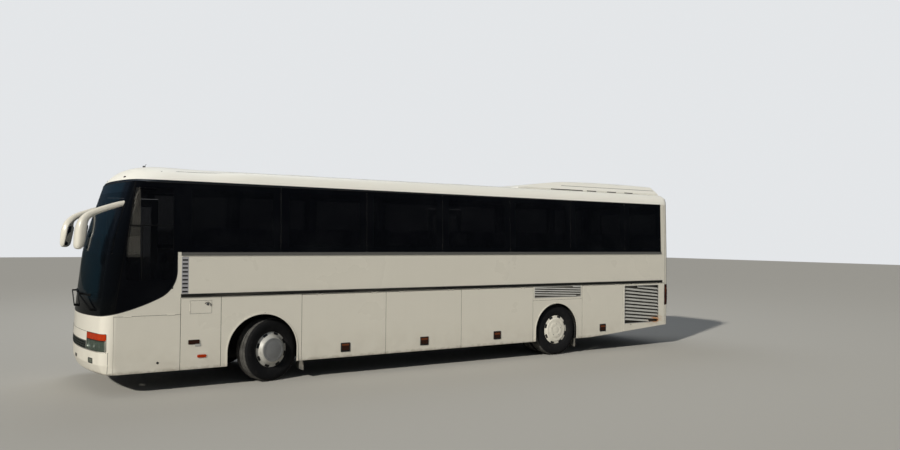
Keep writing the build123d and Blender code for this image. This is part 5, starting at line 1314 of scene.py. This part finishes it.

# Louvre above the rear wheel: a dark field on the wall as painted shade between the slats, frame and slats
# that fall the same way
vent_slat = slat_blade("vent_slat_form", VENT_X[1] - VENT_X[0], 0.013)
for side, word in SIDES:
    spot, half_u, half_v = opening(VENT_X, VENT_Z, side)
    # Dark field under the slats: painted shade in the louvre's openings
    Piece(f"vent_field_{word}", slat_shade).cover(spot, half_u, half_v, 0.006, 0.0006, sink=0.004).done()
    around = outline(spot, half_u, half_v, 0.008)
    Piece(f"vent_frame_{word}", slat_paint).strip(around, 0.014, 0.005, closed=True).done()
    places = sloping_slats(VENT_X, VENT_Z, 0.046, radians(2.4), 0.014, side * (SIDE_Y + 0.006),
                           side * radians(-65))
    repeated(f"vent_slats_{word}", vent_slat, slat_paint, "coach", places)

# Rear: lamps round the corners, window seal, cover handle, reflectors and seams
TAIL_CORNER = 0.1


def corner_spot(side, first_y, centre_z, half):
    """Places on the rear and round its corner, by run from a first place across and by height."""
    flat = SIDE_Y - TAIL_CORNER - first_y

    def spot(u, v):
        run = u + half
        turn = max(0, run - flat) / TAIL_CORNER
        across = min(first_y + run, SIDE_Y - TAIL_CORNER)
        way = Vector((cos(turn), -side * sin(turn), 0))
        return body_skin.land(Vector((X_TAIL + TAIL_CORNER, side * across, centre_z + v)) - way * 0.6, way)
    return spot


for side, word in SIDES:
    tail_at = corner_spot(side, 0.988, 1.135, 0.172)
    Piece(f"tail_lamp_lens_{word}", lens_smoke).cover(tail_at, 0.172, 0.227, 0.02, 0.007, 0.006).done()
    rim = Piece(f"tail_lamp_seal_{word}", gasket)
    rim.strip(outline(tail_at, 0.174, 0.231, 0.022), 0.008, 0.007, closed=True).done()
    mark_at, high_at = (about(body_skin.tail, side * y, z) for y, z in ((0.95, 0.62), (0.98, 3.07)))
    Piece(f"rear_reflector_{word}", lens_red).cover(mark_at, 0.06, 0.02, 0.012, 0.003, 0.002).done()
    Piece(f"high_lamp_{word}", lens_red).cover(high_at, 0.05, 0.018, 0.012, 0.004, 0.003).done()
rear_seal = Piece("rear_window_seal", gasket)
rear_seal.strip(outline(about(body_skin.tail, 0, 2.54), 0.978, 0.458, 0.03), 0.022, 0.004, closed=True).done()
handle = Piece("engine_cover_handle", mirror_black, "engine_cover")
handle.box(X_TAIL - 0.006, X_TAIL + 0.002, -0.075, 0.075, 0.868, 0.912, 0.003)
grip = ((0.004, -0.055), (0.02, -0.048), (0.02, 0.048), (0.004, 0.055))
handle.tube([(X_TAIL - out, y, 0.895) for out, y in grip], 0.005).done()
rear_seams = Piece("rear_seams", gasket)
for side, _ in SIDES:
    heights = steps_between(0.49, 3.12, 60)
    rear_seams.strip([body_skin.side(X_TAIL_CORNER - 0.003, z, side) for z in heights], 0.005, 0.0008)
rear_seams.strip([body_skin.tail(y, 0.788) for y in steps_between(-1.12, 1.12, 25)], 0.006, 0.0008).done()

# Doors: rubber round the panel, pane seal and handle
for name, (rear, front) in DOORS.items():
    middle_x, half_x, half_z = (rear + front) / 2, (front - rear) / 2, (DOOR_Z[1] - DOOR_Z[0]) / 2
    door_skin = Skin(name, f"{name}_glass")
    panel_at, pane_at = (about(door_skin.side, middle_x, z, -1) for z in (sum(DOOR_Z) / 2, 2.015))
    seal = Piece(f"{name}_seal", gasket, name)
    seal.strip(outline(panel_at, half_x - 0.008, half_z - 0.008, 0.02), 0.012, 0.0035, closed=True)
    seal.strip(outline(pane_at, half_x - 0.09, 0.865, 0.06), 0.014, 0.004, closed=True).done()
    pull_at = about(door_skin.side, front - 0.12, 1.02, -1)
    Piece(f"{name}_handle", mirror_black, name).cover(pull_at, 0.035, 0.055, 0.012, 0.003, 0.003).done()


def brow_lamp_spot(y, z):
    """Places on the brow of the roof, by run across and up its slope."""
    point, normal = roof_skin.nose(y, z)
    across = Vector((0, 1, 0))
    rise = normal.cross(across).normalized()
    return lambda u, v: roof_skin.land(point + across * u + rise * v + normal * 0.3, -normal)


# Roof: marker lamps, antenna, details of the air conditioning unit
for side, word in SIDES:
    marker = Piece(f"roof_marker_{word}", marker_amber)
    marker.cover(brow_lamp_spot(side * 0.70, 3.227), 0.035, 0.014, 0.01, 0.007, 0.004).done()
point, _ = roof_skin.top(ahead(1.77), 0.35)
antenna = Piece("roof_antenna", mirror_black).tube([point, point + Vector((-0.004, 0, 0.02))], 0.022)
antenna.tube([point + Vector((-0.004, 0, 0.015)), point + Vector((-0.035, 0, 0.05))], 0.0035, 8).done()

# Slots in the unit's sides: front end ahead of the axle, length
UNIT_SLOTS = ((-6.12, 0.88), (-7.12, 0.27), (-7.71, 0.27), (-8.24, 0.25))
FAN_RINGS = (0.20, 0.165, 0.13, 0.095, 0.06)
FAN_PLACES = [(X_TAIL + x, y) for x in (0.75, 1.45, 2.15) for y in (-0.28, 0.28)]
unit_skin = Skin("air_conditioner")
# Dark line along each side of the unit under its lid: painted shadow of the lid's overhang
lid_shadow_line = Piece("air_unit_seams", lining)
# Black strips that stand for the slots at the unit's base: painted shade in the slots
slots = Piece("air_unit_slots", mirror_black)
for side, _ in SIDES:
    run = [x for x in steps_between(ahead(-5.75), ahead(-9.22), 40) if x < ahead(-6.4)]
    lid_shadow_line.strip([unit_skin.side(x, 3.472, side) for x in run], 0.013, 0.0015)
    for start, length in UNIT_SLOTS:
        run = steps_between(ahead(start), ahead(start - length), 6)
        slots.strip([unit_skin.side(x, 3.385, side) for x in run], 0.018, 0.001)
lid_shadow_line.done()
slots.done()
fan = Piece("fan_ring_form", mirror_black, None)
for radius in FAN_RINGS:
    circle = [(radius * cos(2 * pi * k / 40), radius * sin(2 * pi * k / 40), 0.006) for k in range(40)]
    fan.tube(circle, 0.0035, 6, closed=True)
for k in range(6):
    spoke = Vector((cos(pi * k / 3), sin(pi * k / 3), 0))
    fan.tube([spoke * r + Vector((0, 0, 0.004)) for r in (0.02, 0.205)], 0.004, 6)
fan_form = fan.lathe([(0, 0.002), (0.19, 0.002), (0.205, 0.008), (0.215, 0.008), (0.22, -0.02)], 48).done()
fans = [frame_on(*unit_skin.top(x, y), Vector((0, 1, 0))) for x, y in FAN_PLACES]
repeated("air_unit_fans", fan_form, mirror_black, "coach", fans)

# Seats: a cushion and a back for each passenger, both padded
SEAT_ROWS, SEAT_PITCH = 12, 0.86
FIRST_ROW_X = X_SERVICE - 0.52
BENCH = (0.34, 1.15)
SEAT_REACH = 0.62
SEAT_WIDTH = 0.395
LEAN = radians(100.5)
# Sections of the pads behind the seat's front edge: place, height, half thickness, share of the width
CUSHION_STATIONS = (
    (-0.478, 0.405, 0.018, 0.90), (-0.470, 0.402, 0.034, 0.96), (-0.440, 0.402, 0.044, 1.0),
    (-0.335, 0.402, 0.047, 1.0), (-0.325, 0.402, 0.043, 1.0), (-0.315, 0.402, 0.048, 1.0),
    (-0.190, 0.402, 0.050, 1.0), (-0.180, 0.402, 0.045, 1.0), (-0.170, 0.402, 0.050, 1.0),
    (-0.060, 0.401, 0.051, 1.0), (-0.010, 0.396, 0.044, 0.99), (0.012, 0.390, 0.032, 0.96),
    (0.019, 0.386, 0.016, 0.90),
)
BACK_STATIONS = (
    (-0.438, 0.458, 0.014, 0.90), (-0.440, 0.470, 0.030, 0.97), (-0.448, 0.53, 0.040, 1.0),
    (-0.462, 0.62, 0.046, 1.0), (-0.464, 0.63, 0.042, 1.0), (-0.466, 0.64, 0.046, 1.0),
    (-0.489, 0.76, 0.047, 0.99), (-0.491, 0.77, 0.043, 0.99), (-0.493, 0.78, 0.047, 0.98),
    (-0.521, 0.92, 0.045, 0.93), (-0.530, 0.965, 0.043, 0.84), (-0.543, 1.03, 0.047, 0.80),
    (-0.555, 1.09, 0.042, 0.74), (-0.559, 1.108, 0.028, 0.66), (-0.560, 1.114, 0.012, 0.56),
)


def pad(name, stations, tilt, around=20):
    """Padded form through stations, each section's plane turned by the same angle."""
    rings = []
    for x, z, half, share in stations:
        ring = []
        for k in range(around):
            c, s = cos(2 * pi * k / around), sin(2 * pi * k / around)
            across = SEAT_WIDTH / 2 * share * (abs(c) ** 0.45) * (1 if c > 0 else -1)
            rise = half * (abs(s) ** 0.6) * (1 if s > 0 else -1)
            ring.append((x - sin(tilt) * rise, across, z + cos(tilt) * rise))
        rings.append(ring)
    return Piece(name, cloth, None).rings(rings).done(smooth=60)


cushion_form = pad("cushion_form", CUSHION_STATIONS, 0)
back_form = pad("back_form", BACK_STATIONS, LEAN)
pedestal = Piece("pedestal_form", chassis, None)
for y in (-0.30, 0.30):
    pedestal.tube([(-0.14, y, 0.345), (-0.15, y, 0.02), (-0.15, y, 0.006)], 0.016, 10)
    pedestal.tube([(-0.35, y, 0.345), (-0.35, y, 0.02), (-0.35, y, 0.006)], 0.016, 10)
    pedestal.box(-0.385, -0.115, y - 0.03, y + 0.03, 0.0005, 0.010, 0.002)
pedestal.box(-0.44, -0.03, -0.395, 0.395, 0.335, 0.356, 0.006)
for y in (-0.40, 0.40):
    pedestal.tube([(-0.475, y, 0.60), (-0.30, y, 0.615), (-0.19, y, 0.61), (-0.175, y, 0.59)], 0.014, 10)
pedestal_form = pedestal.done()

benches = []
for row in range(SEAT_ROWS):
    x = FIRST_ROW_X - row * SEAT_PITCH
    benches.append((x, 1))
    if not any(rear - 0.06 < x and x - SEAT_REACH < front + 0.06 for rear, front in DOORS.values()):
        benches.append((x, -1))
bench_middle = sum(BENCH) / 2
seat_places = [Matrix.Translation((x, side * bench_middle + offset, DECK_Z))
               for x, side in benches for offset in (-0.2025, 0.2025)]
driver_place = Matrix.Translation((ahead(2.08), 0.66, COCKPIT_Z))
PADS = (("seat_cushions", cushion_form, "seats"), ("seat_back_pads", back_form, "seat_backs"))
for name, form, node in PADS:
    pads = repeated(name, form, cloth, "coach", seat_places + [driver_place])
    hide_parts(node)
repeated("seat_frames", pedestal_form, chassis, "coach",
         [Matrix.Translation((x, side * bench_middle, DECK_Z)) for x, side in benches])
driver_base = Piece("driver_seat_base", chassis, "coach", driver_place)
driver_base.box(-0.38, -0.12, -0.15, 0.15, 0.001, 0.30, 0.02)
driver_base.box(-0.43, -0.03, -0.19, 0.19, 0.30, 0.356, 0.015).done()

# Cabin: sections across the coach of the ceiling, the luggage racks and the side linings
CEILING = ((-0.62, 3.30), (0, 3.325), (0.62, 3.30), (0.62, 3.312), (0, 3.337), (-0.62, 3.312))
RACK = ((0.62, 3.13), (0.66, 3.10), (1.05, 3.085), (1.14, 3.10), (1.14, 3.112), (1.05, 3.10), (0.67, 3.115),
        (0.635, 3.14), (0.635, 3.20), (0.62, 3.20))
SIDE_LINING = ((1.186, 1.45), (1.192, 1.45), (1.192, 2.09), (1.186, 2.10), (1.17, 2.10), (1.165, 2.08),
               (1.178, 2.05))
CABIN_REAR = X_TAIL + 0.09


def along_cabin(name, section, side=1, x0=CABIN_REAR, x1=ahead(1.35)):
    """Panel of constant section along the cabin."""
    Piece(name, lining).rings([[(x, side * y, z) for y, z in section] for x in (x0, x1)]).done()


along_cabin("ceiling", CEILING)
for side, word in SIDES:
    along_cabin(f"luggage_rack_{word}", RACK, side)
along_cabin("side_lining_left", SIDE_LINING, x1=ahead(1.39))
along_cabin("side_lining_right_1", SIDE_LINING, -1, DOORS["middle_door"][1] + 0.04,
            DOORS["front_door"][0] - 0.04)
along_cabin("side_lining_right_2", SIDE_LINING, -1, x1=DOORS["middle_door"][0] - 0.04)

# Hood over the instruments: place ahead of the axle, height, half width, rise
HOOD = ((2.20, 1.385, 0.20, 0.02), (2.24, 1.40, 0.24, 0.06), (2.34, 1.41, 0.25, 0.07),
        (2.41, 1.36, 0.22, 0.03))
hood_rings = [[(ahead(x), 0.66 + half * cos(turn), z + high * sin(turn)) for turn in steps_between(0, pi, 13)]
              for x, z, half, high in HOOD]
Piece("instrument_hood", dash_grey).rings(hood_rings).done()
dial = Piece("dial_form", mirror_black, None)
dial.lathe([(0, 0.002), (0.036, 0.002), (0.04, 0.006), (0.044, 0.006), (0.046, -0.002)], 28)
dial_form = dial.done()
dial_way = Vector((-1, 0, 0.45)).normalized()
dials = [frame_on(Vector((ahead(2.196), y, 1.396)), dial_way) for y in (0.56, 0.66, 0.76)]
repeated("instrument_dials", dial_form, mirror_black, "coach", dials)

# Ribs of the step treads: each tread by its outer and inner edge across, three to a door
TREADS = ((1.19, 0.95), (0.95, 0.725), (0.725, 0.53))
FIRST_TREAD_Z = 0.375
rib_section = [(0.004 * cos(turn), 0.0025 * sin(turn)) for turn in steps_between(0, pi, 7)]
rib = Piece("tread_rib_form", arm_steel, None)
rib_form = rib.rings([[(x, y, z) for y, z in rib_section] for x in (-0.40, 0.40)]).done()
ribs_at = []
for name, top in (("front_door", COCKPIT_Z), ("middle_door", DECK_Z)):
    rise, middle_x = (top - FIRST_TREAD_Z) / len(TREADS), sum(DOORS[name]) / 2
    for k, (outer_y, inner_y) in enumerate(TREADS):
        ribs_at += [Matrix.Translation((middle_x, -y, FIRST_TREAD_Z + k * rise))
                    for y in steps_between(inner_y + 0.06, outer_y - 0.015, 5)]
repeated("tread_ribs", rib_form, arm_steel, "coach", ribs_at)

# Bolts of the mud flaps: place of each pair of flaps and its inner edge
MUD_FLAPS = ((ahead(-0.616), 0.88), (X_REAR + 0.03 - 0.542 - 0.012, 0.62))
bolts_at = [frame_on(Vector((x - 0.008, side * y, 0.435)), Vector((-1, 0, 0))) for side, _ in SIDES
            for x, inner_y in MUD_FLAPS for y in (inner_y + 0.05, (inner_y + 1.185) / 2, 1.14)]
repeated("mud_flap_bolts", nut_form, arm_steel, "coach", bolts_at, 1.2)

# The forms have been copied and go
for form in (nut_form, notch_form, slat_form, vent_slat, fan_form, cushion_form, back_form, pedestal_form,
             dial_form, rib_form):
    bpy.data.objects.remove(form)


def shine(kind, name, place, aim, power, color, **settings):
    """Light at a place that looks at a point."""
    data = bpy.data.lights.new(name, kind)
    for setting, value in {"energy": power, "color": color, **settings}.items():
        setattr(data, setting, value)
    light = bpy.data.objects.new(name, data)
    light.location = place
    light.rotation_euler = (Vector(aim) - Vector(place)).to_track_quat("-Z", "Y").to_euler()
    bpy.context.scene.collection.objects.link(light)


# Studio: low sun from ahead on the driver's side, dim sky, dark surroundings in reflections, pale backdrop
shine("SUN", "sun", (24, 11, 15), (0, 0, 0), 3.1, (1, 0.96, 0.87), angle=radians(2.5))
shine("AREA", "sky_patch", (-2, -10, 16), (-1, 0, 3), 650, (0.9, 0.95, 1), size=10)
world = bpy.data.worlds.new("studio")
bpy.context.scene.world = world
world.use_nodes = True
studio = world.node_tree
sky = studio.nodes["Background"]
sky.inputs["Color"].default_value = (0.9, 0.95, 1.0, 1)
sky.inputs["Strength"].default_value = 0.17
directions = wire(studio, "ShaderNodeTexCoord").outputs["Generated"]
height = wire(studio, "ShaderNodeSeparateXYZ", Vector=directions)
rise = wire(studio, "ShaderNodeMapRange", Value=height.outputs["Z"], From_Min=-0.05, From_Max=0.5)
hills = wire(studio, "ShaderNodeMix", {"data_type": "RGBA"}, Factor=rise.outputs["Result"],
             s6=(0.05, 0.055, 0.045, 1), s7=(0.12, 0.2, 0.34, 1))
mirrored = wire(studio, "ShaderNodeBackground", Color=hills.outputs[2], Strength=0.6)
backdrop = wire(studio, "ShaderNodeBackground", Color=(0.86, 0.88, 0.9, 1), Strength=0.9)
seen = wire(studio, "ShaderNodeLightPath").outputs
glossy = wire(studio, "ShaderNodeMixShader", Fac=seen["Is Glossy Ray"], s1=sky.outputs[0],
              s2=mirrored.outputs[0])
either = wire(studio, "ShaderNodeMixShader", Fac=seen["Is Camera Ray"], s1=glossy.outputs[0],
              s2=backdrop.outputs[0])
studio.links.new(either.outputs[0], studio.nodes["World Output"].inputs["Surface"])

# Floor, darker in reflections
FLOOR_REACH = 80
floor_finish = Finish("studio_floor", (0.50, 0.487, 0.455), 0.9)
floor_rays = wire(floor_finish.tree, "ShaderNodeLightPath").outputs
floor_finish.tint(Value(floor_finish.tree, floor_rays["Is Glossy Ray"]), (0.11, 0.105, 0.09))
floor_mesh = bpy.data.meshes.new("studio_floor")
corners = [(x * FLOOR_REACH, y * FLOOR_REACH, 0) for x, y in ((-1, -1), (1, -1), (1, 1), (-1, 1))]
floor_mesh.from_pydata(corners, [], [(0, 1, 2, 3)])
floor_mesh.materials.append(floor_finish.material)
studio_floor = bpy.data.objects.new("studio_floor", floor_mesh)
bpy.context.scene.collection.objects.link(studio_floor)
